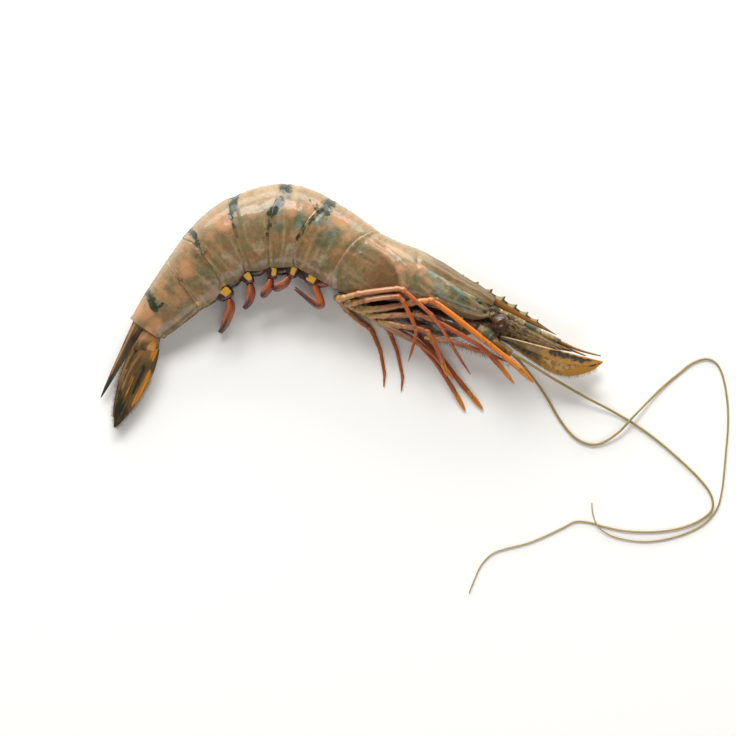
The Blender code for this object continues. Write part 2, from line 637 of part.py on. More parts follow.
def smooth_route(points, per_span):
    """Points on a smooth curve through the route's own points."""
    knots = [Vector(point) for point in points]
    knots = [knots[0] * 2 - knots[1], *knots, knots[-1] * 2 - knots[-2]]
    route = []
    for before, start, end, after in zip(knots, knots[1:], knots[2:], knots[3:]):
        for step in range(per_span):
            t = step / per_span
            cubic = (3 * start - before - 3 * end + after) * t ** 3
            square = (2 * before - 5 * start + 4 * end - after) * t ** 2
            route.append((2 * start + (end - before) * t + square + cubic) / 2)
    route.append(knots[-2])
    return route


def make_whip(collection, name, finish):
    """A long feeler, thin as a thread, from its root on the head to its tip."""
    route = smooth_route(WHIPS[name], 2)
    last = len(route) - 1
    radii = [WHIP_ROOT + (WHIP_TIP - WHIP_ROOT) * i / last for i in range(last + 1)]
    points = [Vector((p.x, p.y, max(p.z, r))) * MM for p, r in zip(route, radii)]
    return make_tube(collection, name, points, radii, finish)


def main():
    """Build every piece of the prawn."""
    collection = clear_scene()
    shell = material("shell", "#8f7f62", 0.3)
    flesh = material("underside", "#6b5648", 0.4)
    blade = material("tail_blade", "#4a4a34", 0.3)
    horn = material("scale_blade", "#b98a3e", 0.3)
    leg = material("leg", "#c46a3a", 0.35)
    swimmeret = material("swimmeret", "#7a3f34", 0.4)
    whip = material("feeler", "#a08a55", 0.4)
    cornea = material("eye", "#241c16", 0.1)
    make_carapace(collection, shell)
    make_thorax(collection, flesh)
    for index in range(len(SEGMENT_LENGTHS)):
        make_segment(collection, index, shell)
    make_telson(collection, shell)
    for side in (1.0, -1.0):
        name = side_name(side)
        make_uropod(collection, side, blade)
        make_eye(collection, side, cornea, shell)
        make_limb(collection, f"antenna_base_{name}", ANTENNA_BASE, shell, side)
        make_limb(collection, f"antennule_{name}", ANTENNULE, whip, side)
        make_limb(collection, f"maxilliped_{name}", MAXILLIPED, leg, side)
        make_scale(collection, side, horn)
        make_whip(collection, f"antenna_{name}", whip)
        for index in range(5):
            make_swimmeret(collection, index, side, swimmeret)
    for name, joints in LEGS.items():
        make_limb(collection, name, joints, leg)


main()
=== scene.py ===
"""A raw tiger prawn lying on its left flank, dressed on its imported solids. Metres, +Z up, head towards +X."""
import math

import bmesh
import bpy
import numpy as np
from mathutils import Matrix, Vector, noise


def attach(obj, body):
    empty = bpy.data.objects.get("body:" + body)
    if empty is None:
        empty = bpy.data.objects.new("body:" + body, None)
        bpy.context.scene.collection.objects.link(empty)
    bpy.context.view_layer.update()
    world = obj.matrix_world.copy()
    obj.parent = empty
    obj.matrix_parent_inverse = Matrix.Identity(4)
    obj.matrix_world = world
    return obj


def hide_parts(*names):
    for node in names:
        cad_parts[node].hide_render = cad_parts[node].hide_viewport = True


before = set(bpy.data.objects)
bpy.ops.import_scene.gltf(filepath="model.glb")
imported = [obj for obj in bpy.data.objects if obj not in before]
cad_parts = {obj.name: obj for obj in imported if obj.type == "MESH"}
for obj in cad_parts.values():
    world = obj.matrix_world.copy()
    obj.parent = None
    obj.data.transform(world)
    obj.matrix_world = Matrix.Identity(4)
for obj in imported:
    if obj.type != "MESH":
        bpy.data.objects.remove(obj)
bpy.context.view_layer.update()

# ---- The abdomen's six plates
# Thin raw shell over solid flesh. Each plate slides under the rear rim of the one before it, and
# its side lobes hang round the belly. Lengths are in mm along and across the body line.
MM = 0.001
HEAD_POINTS = math.radians(-29.5)
NECK_LENGTH = 14.0
ROUTE_STEP = 0.02
FLOOR_GAP = 0.02
REST_SINK = 0.35
BENDS = ((14.0, -4.5), (15.3, 9.0), (12.8, 24.0), (14.7, 25.5), (12.2, 20.0), (12.2, 6.0), (19.2, 4.0))
SEAMS = (0.0, 15.3, 28.1, 42.8, 55.0, 67.2, 86.4)
SEAM_TOPS = (12.6, 13.8, 15.0, 12.4, 9.6, 8.2, 6.2)
SEAM_DEPTHS = (11.6, 12.0, 13.4, 12.4, 11.6, 10.4, 6.4)
SEAM_HALVES = (9.4, 9.8, 10.0, 9.4, 8.4, 7.0, 4.8)
SEAM_SWEEPS = (
    (-2.6, 3.0, 2.8, 0.0), (-1.5, 3.7, 4.0, 1.2), (-3.0, 2.0, 2.7, 3.0), (-2.8, -0.8, 0.5, 2.2),
    (0.7, 0.0, 1.4, 3.0), (-2.0, 0.0, 1.6, 3.2), (0.4, 0.6, 0.4, -0.6),
)
LOBE_DEPTHS = (0.03, 0.04, 0.06, 0.12, 0.13, 0.02)
LOBE_T = 0.75
LOBE_TUCK = 0.3
BELLY_RISE = 0.28
RIM_UNDERLAP = 1.3
FLANK_COLUMNS = 92
PLATE_ROWS = 46


def linear(colour):
    """An sRGB hex colour as the linear colour that a socket takes."""
    channels = [int(colour[i:i + 2], 16) / 255 for i in (1, 3, 5)]
    return (*[c / 12.92 if c <= 0.04045 else ((c + 0.055) / 1.055) ** 2.4 for c in channels], 1.0)


def add_node(tree, kind, settings, inputs):
    """Add one node: its settings, then each input as a value or as a link from a socket."""
    node = tree.nodes.new(kind)
    for name, value in settings.items():
        setattr(node, name, value)
    for key, value in inputs.items():
        if isinstance(value, bpy.types.NodeSocket):
            tree.links.new(value, node.inputs[key])
        else:
            node.inputs[key].default_value = value
    return node


def wet_finish(name, base, textures, mixes, layers, bump, settings, damp=None):
    """A material in layers. A layer is (driver, where it starts, where it is full, its most, its colour).

    A driver is a texture (kind, grain size in mm, or sizes along and across a piece's own map, inputs),
    a mark that the pieces carry, or a mix: a texture times a number, added to a mark. Damp is what
    drives the roughness: a driver, its range, and the roughness at both ends.
    """
    made = bpy.data.materials.new(name)
    made.use_nodes = True
    tree = made.node_tree
    shader = tree.nodes["Principled BSDF"]
    places = add_node(tree, "ShaderNodeTexCoord", {}, {}).outputs
    level = {}
    for key, (kind, size, inputs) in textures.items():
        if isinstance(size, tuple):
            way = (1 / size[0], 1 / size[1], 1.0)
            where = add_node(tree, "ShaderNodeMapping", {}, {"Vector": places["UV"], "Scale": way}).outputs[0]
            scale = 1.0
        else:
            where, scale = places["Object"], 1 / (size * MM)
        level[key] = add_node(tree, "ShaderNodeTex" + kind, {},
                              {"Vector": where, "Scale": scale, **inputs}).outputs[0]

    def read(key):
        if key not in level:
            level[key] = add_node(tree, "ShaderNodeAttribute", {"attribute_name": key}, {}).outputs["Fac"]
        return level[key]

    mixed = {}
    for key, (texture, times, mark) in mixes.items():
        inputs = {0: level[texture], 1: times, 2: read(mark)}
        mixed[key] = add_node(tree, "ShaderNodeMath", {"operation": "MULTIPLY_ADD"}, inputs).outputs[0]
    colour = linear(base)
    for driver, start, full, most, tint in layers:
        inputs = {"Value": mixed.get(driver) or read(driver), "From Min": start, "From Max": full, "To Max": most}
        amount = add_node(tree, "ShaderNodeMapRange", {"interpolation_type": "SMOOTHSTEP"}, inputs).outputs[0]
        inputs = {0: amount, 6: colour, 7: linear(tint)}
        colour = add_node(tree, "ShaderNodeMix", {"data_type": "RGBA"}, inputs).outputs[2]
    tree.links.new(colour, shader.inputs["Base Color"])
    height, strength, depth = bump
    height = mixed.get(height) or level[height]
    relief = add_node(tree, "ShaderNodeBump", {}, {"Height": height, "Strength": strength, "Distance": depth * MM})
    tree.links.new(relief.outputs[0], shader.inputs["Normal"])
    for key, value in settings.items():
        shader.inputs[key].default_value = value
    if damp:
        inputs = dict(zip(("Value", "From Min", "From Max", "To Min", "To Max"), (read(damp[0]), *damp[1:])))
        wetness = add_node(tree, "ShaderNodeMapRange", {}, inputs).outputs[0]
        tree.links.new(wetness, shader.inputs["Roughness"])
    return made


def gloss(roughness, specular, coat, coat_roughness):
    """The shader's settings for a surface under a film of water."""
    return {"Roughness": roughness, "Specular IOR Level": specular, "Coat Weight": coat,
            "Coat Roughness": coat_roughness}


def ease(low, high, at):
    """0 below low, 1 above high, and a smooth rise between."""
    share = np.clip((at - low) / (high - low), 0.0, 1.0)
    return share * share * (3 - 2 * share)


def hump(at, centre, width, power=2):
    """A bell curve: 1 at the centre, and a third of that one width away."""
    return np.exp(-((at - centre) / width) ** power)


def flow(stations, values, at):
    """A smooth curve through the values at the stations, read off at many places."""
    x, y = np.asarray(stations, float), np.asarray(values, float)
    slope = np.gradient(y, x)
    at = np.clip(at, x[0], x[-1])
    i = np.clip(np.searchsorted(x, at, side="right") - 1, 0, len(x) - 2)
    span = x[i + 1] - x[i]
    f = (at - x[i]) / span
    start = (1 + 2 * f) * (1 - f) ** 2 * y[i] + f * (1 - f) ** 2 * span * slope[i]
    return start + f * f * (3 - 2 * f) * y[i + 1] + f * f * (f - 1) * span * slope[i + 1]


def brush(a, b, route, width, soft=0.9):
    """How strongly a stroke of that width along a route marks each place (a, b)."""
    near = np.full(np.shape(a), np.inf)
    for (a0, b0), (a1, b1) in zip(route, route[1:]):
        da, db = a1 - a0, b1 - b0
        f = np.clip(((a - a0) * da + (b - b0) * db) / (da * da + db * db), 0.0, 1.0)
        near = np.minimum(near, np.hypot(a - a0 - f * da, b - b0 - f * db))
    return 1 - ease(width / 2 * (1 - soft), width / 2 * (1 + soft), near)


def blot(a, b, centre, radii):
    """A soft oval patch."""
    return 1 - ease(0.25, 1.0, np.hypot((a - centre[0]) / radii[0], (b - centre[1]) / radii[1]))


ROUTE_S = np.arange(-NECK_LENGTH, 130.0, ROUTE_STEP)
ROUTE_BEND = np.zeros(len(ROUTE_S))
bend_start = -NECK_LENGTH
for bend_length, bend_turn in BENDS:
    inside = (ROUTE_S >= bend_start) & (ROUTE_S < bend_start + bend_length)
    ROUTE_BEND[inside] = math.radians(bend_turn) / bend_length
    bend_start += bend_length
ROUTE_HEADING = HEAD_POINTS + math.pi + np.concatenate(([0.0], np.cumsum(ROUTE_BEND[:-1] * ROUTE_STEP)))
ROUTE_X, ROUTE_Y = (
    first + np.concatenate(([0.0], np.cumsum(part(ROUTE_HEADING[:-1]) * ROUTE_STEP)))
    for first, part in ((-math.sin(HEAD_POINTS), np.cos), (math.cos(HEAD_POINTS), np.sin))
)


def body_place(s, v, w):
    """Places (m) at s behind the shield, v towards the back and w towards the right flank."""
    s, v, w = np.broadcast_arrays(np.asarray(s, float), v, w)
    before = np.minimum(s + NECK_LENGTH, 0.0)
    heading = np.interp(s, ROUTE_S, ROUTE_HEADING)
    x = np.interp(s, ROUTE_S, ROUTE_X) + before * np.cos(heading) + v * np.sin(heading)
    y = np.interp(s, ROUTE_S, ROUTE_Y) + before * np.sin(heading) - v * np.cos(heading)
    return np.stack((x, y, np.maximum(flow(SEAMS, SEAM_HALVES, s) - REST_SINK + w, FLOOR_GAP)), -1) * MM


def section(t, top, waist, bottom, half, rise):
    """Half section of a shell, from the back at t = 0 to the belly at t = 1."""
    upper, lower, belly = np.pi * t, np.pi / 2 * (t - 0.5) / (LOBE_T - 0.5), np.pi / 2 * (t - LOBE_T) / (1 - LOBE_T)
    v = np.where(t <= 0.5, waist + (top - waist) * np.cos(upper), waist - (waist - bottom) * np.sin(lower))
    w = np.where(t <= 0.5, half * np.abs(np.sin(upper)) ** 0.9, half * (1 - LOBE_TUCK * (1 - np.cos(lower))))
    v = np.where(t > LOBE_T, bottom + rise * (1 - np.cos(belly)), v)
    return v, np.where(t > LOBE_T, half * (1 - LOBE_TUCK) * np.cos(belly), w)


def seam_sweep(seam, t):
    """How far a seam lies behind its station, round the section."""
    shifts = (*SEAM_SWEEPS[seam], SEAM_SWEEPS[seam][-1] * 0.6)
    return flow((0.0, 0.5, 0.62, LOBE_T, 1.0), shifts, t)


def lumps(places, size, seed):
    """Soft unevenness from -1 to 1 with bumps of that size in mm."""
    flat = places.reshape(-1, 3) / (size * MM)
    drift = Vector((seed * 17.3, seed * 5.1, seed * 9.7))
    return np.array([noise.noise(Vector(p) + drift) for p in flat]).reshape(places.shape[:-1])


def flat_lumps(a, b, size, seed):
    """The same unevenness over a flat field of mm places (a, b)."""
    return lumps(np.stack((a, b, 0 * a), -1) * MM, size, seed)


def strongest(first, *others):
    """The strongest of several levels at each place."""
    for other in others:
        first = np.maximum(first, other)
    return first


def deepen(marks, key, *levels):
    """Raise a mark to each level where that is stronger."""
    marks[key] = strongest(marks[key], *levels)


def paint(marks, a, b, strokes, patches, thicker=1.0, soft=0.9):
    """Lay strokes (mark, routes) and oval patches (mark, ovals) on the marks at places (a, b)."""
    for key, routes in strokes:
        for route, width, strength in routes:
            deepen(marks, key, strength * brush(a, b, route, width * thicker, soft))
    for key, ovals in patches:
        for centre, radii, strength in ovals:
            deepen(marks, key, strength * blot(a, b, centre, radii))


def clear_bands(marks):
    """Away from the bands their mark is below nothing, so no stray freckle passes the mottling."""
    marks["band"] = marks["band"] - 0.5 * (1 - ease(0.0, 0.3, marks["band"]))


def settle(piece, slot, *nodes):
    """The piece stands for its solids and stays with the body."""
    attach(piece, "root")
    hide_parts(*nodes)


def skin(name, grid, marks, finish, slot, *nodes, ways=None):
    """A closed mesh over a looped grid of places, settled on its solids, with its marks as attributes.

    Its ends are closed by fans. Ways are mm along it and mm across it, for its own map.
    """
    rows, cols = grid.shape[:2]
    ends = np.stack((grid[0].mean(0), grid[-1].mean(0)))
    verts = np.concatenate((grid.reshape(-1, 3), ends))
    i, j = np.meshgrid(np.arange(rows - 1), np.arange(cols), indexing="ij")
    k = (j + 1) % cols
    corners = (i * cols + j, i * cols + k, (i + 1) * cols + k, (i + 1) * cols + j)
    faces = np.stack(corners, -1).reshape(-1, 4).tolist()
    for row, centre, turn in ((0, rows * cols, -1), (rows - 1, rows * cols + 1, 1)):
        for step in range(cols):
            pair = (row * cols + step, row * cols + (step + 1) % cols)
            faces.append((*pair[::turn], centre))
    mesh = bpy.data.meshes.new(name)
    mesh.from_pydata(verts.tolist(), [], faces)
    work = bmesh.new()
    work.from_mesh(mesh)
    if work.calc_volume(signed=True) < 0:
        bmesh.ops.reverse_faces(work, faces=work.faces)
    work.to_mesh(mesh)
    work.free()
    for key, values in marks.items():
        values = np.broadcast_to(values, (rows, cols))
        full = np.concatenate((values.ravel(), (values[0].mean(), values[-1].mean())))
        mesh.attributes.new(key, "FLOAT", "POINT").data.foreach_set("value", full.astype(np.float32))
    mesh.shade_smooth()
    mesh.materials.append(finish)
    made = bpy.data.objects.new(name, mesh)
    bpy.context.scene.collection.objects.link(made)
    if ways:
        values = np.stack(np.broadcast_arrays(*ways), -1).reshape(-1, 2)
        values = np.concatenate((values, values[:1], values[-1:]))
        corners = np.zeros(len(mesh.loops), np.int32)
        mesh.loops.foreach_get("vertex_index", corners)
        layer = mesh.uv_layers.new(name="along_across")
        layer.data.foreach_set("uv", values[corners].astype(np.float32).ravel())
    settle(made, slot, *nodes)
    return made


# Wet raw shell: translucent chitin over flesh. It gives soft depth, small mottling and a clear wet gloss, a paler
# back that is partly painted light from above, and painted shade in its creases and grooves.
shell = wet_finish(
    "raw_prawn_shell", "#726343",
    {"cloud": ("Noise", 5.5, {"Detail": 3.0, "Roughness": 0.6}),
     "mottle": ("Noise", 1.8, {"Detail": 4.0, "Roughness": 0.62, "Distortion": 0.6}),
     "drift": ("Noise", 3.1, {"Detail": 4.0, "Roughness": 0.6, "Distortion": 1.2}),
     "grain": ("Noise", 0.55, {"Detail": 3.0, "Roughness": 0.6})},
    {"broken_band": ("mottle", 2.6, "band"), "broken_blush": ("cloud", 2.2, "blush"),
     "broken_green": ("cloud", -2.2, "green"), "broken_horn": ("mottle", 0.7, "horn"),
     "broken_rim": ("mottle", 1.2, "rim"), "broken_gill": ("drift", 1.8, "gill"),
     "broken_gill_low": ("cloud", -1.5, "gill"), "broken_teal": ("drift", 1.7, "green"),
     "broken_yellow": ("mottle", 1.8, "yellow"), "relief": ("grain", 0.35, "mottle")},
    (("cloud", 0.36, 0.66, 0.75, "#765230"), ("mottle", 0.42, 0.76, 0.55, "#98825a"),
     ("drift", 0.5, 0.72, 0.38, "#977452"), ("drift", 0.48, 0.32, 0.55, "#5c6140"),
     ("muscle", 0.5, 0.95, 0.5, "#55432a"), ("muscle", 0.5, 0.1, 0.45, "#a89069"),
     # The pale back layer is partly the shell's own tone and partly painted light from above.
     ("pale_back_and_painted_light", 0.1, 1.0, 0.45, "#ad9570"), ("grain", 0.5, 0.72, 0.35, "#4a3820"),
     ("broken_green", -0.95, 0.0, 0.85, "#47543a"), ("broken_teal", 1.45, 2.3, 0.6, "#859086"),
     ("broken_blush", 1.05, 2.3, 0.85, "#b5835c"), ("gill", 0.0, 1.0, 0.78, "#5a3b20"),
     ("broken_gill", 1.3, 2.2, 0.4, "#785c3c"), ("broken_gill_low", 0.15, 0.85, 0.6, "#422913"),
     ("broken_horn", 0.5, 1.3, 0.85, "#5f4a22"), ("broken_rim", 0.85, 1.5, 0.6, "#a49678"),
     # The crease layer is painted shade in creases, grooves and tucked seams.
     ("broken_band", 1.5, 2.1, 0.94, "#1b281b"), ("painted_crease_shade", 0.1, 0.9, 0.85, "#2b1f13"),
     ("broken_yellow", 1.2, 1.8, 0.85, "#b98a26")),
    ("relief", 0.35, 0.5),
    {**gloss(0.5, 0.25, 0.6, 0.13), "IOR": 1.42, "Subsurface Weight": 0.15,
     "Subsurface Radius": (1.0, 0.5, 0.25), "Subsurface Scale": 0.0015},
    ("mottle", 0.3, 0.7, 0.3, 0.5))
SHELL_MARKS = ("band", "blush", "green", "gill", "rim", "painted_crease_shade", "yellow", "horn", "muscle", "pale_back_and_painted_light")

# Dark green bands at the rims, where each plate's colour gathers: route in (s, v), width, strength.
BANDS = (
    (((14.3, 13.9), (15, 11.6), (14.6, 9.8)), 2.7, 1),
    (((19.7, 11), (18.2, 9.4), (16.6, 7.7), (15.4, 6.1)), 0.5, 0.8),
    (((17.9, 11.1), (16.8, 8.3), (15.4, 6.1)), 0.45, 0.8),
    (((16, 8), (17.9, 4.2), (18.9, 0.2), (19.8, -2.9)), 1.6, 0.5),
    (((26.2, 15.4), (26, 13.2)), 2.5, 1),
    (((27.2, 9), (27.6, 7), (29.4, 4.6)), 2.3, 0.95),
    (((28.6, 5.2), (29.8, 2.1), (31.2, -4)), 1.5, 0.46),
    (((38.2, 13.4), (39.6, 9.7), (40.8, 6.2)), 1.9, 1),
    (((41, 6.2), (41.4, 2.5), (42, -1.7)), 1.3, 0.46),
    (((53, 10.4), (52.9, 7.5), (53.9, 4.4)), 1.5, 0.85),
    (((76.6, 8.8), (77, 5.2), (79.4, 1.4)), 2.1, 1),
    (((79.4, 1.2), (76.6, 0.2)), 1, 0.75),
)
# Hinge knots on the flank, and the creases that run from them, painted as dark shade.
KNOTS = ((54.5, 0.9), (66.2, 0.7))
PAINTED_CREASE_SHADES = (
    (((54.5, 1.4), (54.1, 3), (53.3, 4.6)), 0.3, 0.85), (((54.9, 1.1), (56.4, 1.9), (57.6, 1.7)), 0.28, 0.75),
    (((54.1, 0.9), (52.9, 0.4)), 0.3, 0.7), (((54.8, 0.3), (55.9, -1.2)), 0.26, 0.6),
    (((54.1, 1.5), (52.9, 2.4)), 0.24, 0.5),
    (((64.6, 6.6), (65.1, 4.4), (65.9, 1.6)), 0.34, 0.6), (((66.5, 0.6), (67.9, 0.1)), 0.26, 0.6),
    (((66.2, 0.1), (66.9, -1.6), (68.3, -4)), 0.26, 0.5), (((42.4, 0.8), (43.4, -3)), 0.3, 0.35),
    (((15.8, 2), (17.2, -1), (19.5, -4.5)), 0.26, 0.3), (((28.4, 1.2), (29.6, -1.6)), 0.26, 0.35),
)
# Orange blush and green tint: centre in (s, v), half sizes, strength.
BLUSHES = (
    ((9, 8.5), (4.5, 4), 0.8), ((17.8, 9.2), (3, 4.5), 0.8), ((24, 7), (4, 4.5), 0.65),
    ((34, 6.5), (3.5, 5), 0.55), ((44, 6), (4.5, 5.5), 0.75), ((49.5, 3), (3, 4), 0.5),
    ((58.5, 6), (4, 4), 0.7), ((60, 1), (3.5, 3), 0.4), ((71, 5), (3.5, 3.5), 0.55),
    ((50.5, -2), (4, 6), 0.5), ((62.5, 1.5), (5.5, 7), 0.75), ((72, -1), (6, 6), 0.7),
    ((82.5, 4), (5.5, 5.5), 1.1), ((84.5, -1.5), (5.5, 4), 1), ((5, 5), (3, 4), 0.4),
)
GREENS = (
    ((11.5, 4), (6, 7), 0.95), ((20.5, 3.5), (3.2, 7.5), 0.9), ((27.4, 2.5), (2.6, 7.5), 0.85),
    ((15.6, 6), (2.6, 6), 0.9), ((25.6, 12), (2.6, 4), 0.9), ((39.6, 9), (2.2, 5), 0.8),
    ((10.5, 2), (5.5, 7), 0.7), ((20.5, 1), (4, 8), 0.65), ((26.5, 10), (2.5, 5), 0.6),
    ((33, -5), (4, 5), 0.4), ((46.5, -4), (4, 5), 0.45), ((57, -5), (4.5, 5), 0.3),
    ((5, -6), (5, 5), 0.4), ((39, 4), (1.6, 9), 0.35),
)
PALES = (
    ((8.5, -6), (5, 4.5), 0.6), ((21.5, -6.5), (4.6, 4.5), 0.6), ((35, -6.5), (5, 4.5), 0.6),
    ((48.5, -5.5), (4.4, 4.5), 0.65),
    ((61, -6), (4, 3.5), 0.45), ((31, 12.5), (5, 4), 0.55), ((44.5, -8.5), (4, 3), 0.3), ((10, -8), (5, 3), 0.3),
    ((72, -5), (6, 3), 0.35))
YELLOWS = (((69, -9), (2, 1.6), 1), ((57.6, -11.6), (1.6, 1.3), 1))


def abdomen_marks(s, v):
    """Every mark on the abdomen as attribute values at places (s, v)."""
    marks = {key: np.zeros(s.shape) for key in SHELL_MARKS}
    paint(marks, s, v, (("band", BANDS),), (), 1.15, 0.8)
    clear_bands(marks)
    patches = (("blush", BLUSHES), ("green", GREENS), ("rim", PALES), ("yellow", YELLOWS))
    paint(marks, s, v, (("painted_crease_shade", PAINTED_CREASE_SHADES),), patches, 1.3)
    # Each knot sits in a dark ring of painted shade.
    for knot in KNOTS:
        ring = 0.6 * (1 - ease(0.15, 0.5, np.abs(np.hypot(s - knot[0], v - knot[1]) - 0.55)))
        deepen(marks, "painted_crease_shade", ring)
    # Muscle shows through in soft bars round the body. The back is painted paler: partly the shell's own paler tone,
    # partly painted light from above.
    marks["muscle"] = 0.5 + 0.55 * flat_lumps(s, 0.13 * v, 1.5, 3) + 0.25 * flat_lumps(s, 0.3 * v, 0.6, 6)
    marks["pale_back_and_painted_light"] = ease(-1.0, 11.0, v)
    return marks


half_round = np.arange(FLANK_COLUMNS + 1) / FLANK_COLUMNS
t_round = np.concatenate((half_round, half_round[-2:0:-1]))
side_round = np.where(np.arange(2 * FLANK_COLUMNS) > FLANK_COLUMNS, -1.0, 1.0)
for index in range(6):
    first = seam_sweep(index, t_round) + SEAMS[index]
    last = seam_sweep(index + 1, t_round) + SEAMS[index + 1]
    # Rows run from the tucked front edge to the rear rim, then round the lip and back inside it.
    share = np.linspace(0.0, 1.0, PLATE_ROWS)[:, None]
    start = first - RIM_UNDERLAP
    s = start + (last - start) * share
    aft = last - s
    fore = s - first
    sink = 0.5 * (1 - ease(-RIM_UNDERLAP, 1.5, fore)) * (1.0 if index else 0.6)
    rim = 0.1 * hump(aft, 0.0, 0.5) - 0.12 * hump(aft, 1.5, 0.6)
    lift = rim - sink
    s = np.concatenate((s, [last + past for past in (0.14, 0.1, -0.4, -1.6)]))
    lift = np.concatenate((lift, [lift[-1] - drop for drop in (0.12, 0.3, 0.45, 0.6)]))
    if index == 5:
        s, lift = s[:-2], lift[:-2]
    local = np.clip((s - first) / (last - first), 0.0, 1.0)
    at = SEAMS[index] + (SEAMS[index + 1] - SEAMS[index]) * local
    depth = flow(SEAMS, SEAM_DEPTHS, at) * (1 + LOBE_DEPTHS[index] * np.sin(np.pi * local))
    t = np.broadcast_to(t_round, s.shape)
    v, w = section(t, flow(SEAMS, SEAM_TOPS, at), 0.0, -depth, flow(SEAMS, SEAM_HALVES, at), depth * BELLY_RISE)
    # A faint keel on the last three plates, a rolled edge on the lobes, and soft unevenness all over.
    keel = (0.5 if index > 2 else 0.1) * hump(w, 0.0, 1.2) * (v > 0)
    edge = 0.22 * hump(t, LOBE_T, 0.022) - 0.14 * hump(t - LOBE_T, -0.055, 0.03)
    knob = sum(0.16 * blot(s, v, knot, (0.9, 0.9)) for knot in KNOTS)
    rough = body_place(s, v, w * side_round)
    lift = lift + keel + edge + knob + 0.16 * lumps(rough, 5.0, 1) + 0.06 * lumps(rough, 1.7, 2)
    reach = 1 + lift / np.maximum(np.hypot(v, w), 2.0)
    marks = abdomen_marks(s, v)
    rim_line = hump(last - s, 0.05, 0.45) * 0.5
    lobe_line = 0.45 * hump(t, LOBE_T, 0.014)
    deepen(marks, "rim", np.maximum(rim_line, lobe_line))
    # Painted shade at each plate's front edge, where it slides under the rim of the plate before.
    deepen(marks, "painted_crease_shade", 0.28 * (1 - ease(0.0, 0.7, s - first)) * (s < last - 2))
    skin(f"abdomen_plate_{index + 1}", body_place(s, v * reach, w * reach * side_round), marks, shell, "shell",
         f"segment_{index + 1}")

# ---- The carapace
# One shield over head and thorax, of the same shell. It is ridged along the back, grooved round the
# stomach and the gill chamber, thin and brown over the gills, and rolled at its rear and lower rims.
SHIELD_U = (0, 4.5, 9.5, 14.5, 20, 26, 32, 38, 44, 47.5, 49.5)
SHIELD_TOP = (12.6, 12.9, 13.3, 13.7, 14, 14.1, 14, 13.8, 13.5, 13, 12.4)
SHIELD_WAIST = (0, 0, 0, 0.2, 1.2, 2.8, 4.6, 5.8, 6.7, 7.4, 8.4)
SHIELD_MARGIN = (-11.6, -10.9, -9.4, -7.2, -4.5, -1.8, 0.1, 1.1, 2, 3.4, 5.2)
SHIELD_HALF = (9.4, 9.55, 9.6, 9.55, 9.5, 8.6, 7.6, 6.5, 5.5, 4.5, 3.2)
GILL_RIDGE = ((-1, 7), (1.8, 7.2), (8.5, 7.1), (12, 6.2), (14.8, 4.9), (17.2, 3.3), (18.9, 1.7), (20.5, -1))
# Grooves and ridges in (u, v): route, width, height.
SHIELD_RELIEF = (
    (GILL_RIDGE, 2.3, 0.3), (((0, 8.6), (8.5, 8.6), (13.4, 7.4), (17, 4.9), (20.4, 2.6)), 1.6, -0.3),
    (((19, 12.6), (20.5, 9), (23, 6.2), (27, 4.2), (31, 3.4)), 1.5, -0.42),
    (((31, 3.4), (37, 4.4), (43, 5.2), (48, 6)), 1.2, -0.35),
    (((20, 10.9), (30, 10.4), (40, 10.2), (48.5, 10.3)), 1.3, -0.45),
    (((20, 11.9), (30, 11.8), (42, 11.7), (49, 11.4)), 0.9, 0.3),
    (((33, 8.6), (38, 8), (44, 7.6), (49, 7.4)), 1.1, 0.32),
    (((24, 1.8), (29, 1.8), (34, 2.6)), 1.3, 0.2),
)
SHIELD_BLUSHES = (
    ((11, 9.8), (9, 2.4), 0.95), ((21, 8.2), (5.5, 3.4), 0.85), ((4, 8.6), (4, 2), 0.7),
    ((28.5, 3.9), (1.3, 1), 1), ((26, 6.6), (3.5, 1.6), 0.7), ((39, 9.3), (5, 1), 0.5),
    ((16.5, 6.2), (3, 2), 0.6), ((45.5, 6), (2.5, 1.2), 0.5),
)
SHIELD_GREENS = (
    ((33, 7.2), (14, 4.2), 0.75), ((23, 7), (3, 4), 0.6),
    ((26.5, 9.4), (4, 2), 1.1), ((32.5, 5.2), (5, 2.2), 1), ((36.5, 8.8), (4.5, 1.9), 1),
    ((44, 9.2), (4, 1.6), 0.9), ((31, 10.8), (6, 1), 0.7), ((41, 5.2), (4.5, 1.8), 0.7),
    ((24, 2.5), (4, 3), 0.45), ((3, 10.8), (3, 1.5), 0.5),
)
# Pale patches on the shield. The long narrow one along the top keel is a painted highlight.
SHIELD_PALES = (
    ((11, 10.5), (9, 2.5), 0.6), ((30, 7.4), (13, 5.5), 0.55), ((2.2, 10.4), (3, 2.2), 0.55),
    ((0.5, -9.5), (2, 2.5), 0.7), ((37, 3.2), (6, 1.2), 0.35), ((13, 12.4), (12, 1.1), 0.45))
rows_u = np.concatenate((np.linspace(0.0, 2.4, 12)[:-1], np.linspace(2.4, 49.5, 132)))[:, None]
front_edge = -1.6 * blot(t_round, 0.0, (0.42, 0.0), (0.1, 1.0)) + 1.6 * blot(t_round, 0.0, (0.58, 0.0), (0.05, 1.0))
u = rows_u + front_edge * ease(40.0, 49.5, rows_u)
t = np.broadcast_to(t_round, u.shape)
curves = (SHIELD_TOP, SHIELD_WAIST, SHIELD_MARGIN, SHIELD_HALF)
top, waist, margin, half = (flow(SHIELD_U, curve, rows_u) for curve in curves)
v, w = section(t, top, waist, margin, half, 0.08 * (top - margin))
lift = sum(height * brush(u, v, route, width) for route, width, height in SHIELD_RELIEF)
lift = lift + 0.24 * hump(u, 0.5, 0.6) - 0.14 * hump(u, 2.0, 0.8)
lift = lift + 0.3 * hump(t, LOBE_T, 0.02) - 0.2 * hump(t - LOBE_T, -0.06, 0.03)
lift = lift + 0.55 * hump(w, 0.0, 1.0) * (t < 0.5) * ease(8.0, 22.0, u)
lift = lift + 0.14 * hump(np.hypot(u - 4.0, v - 2.6), 0.75, 0.25)
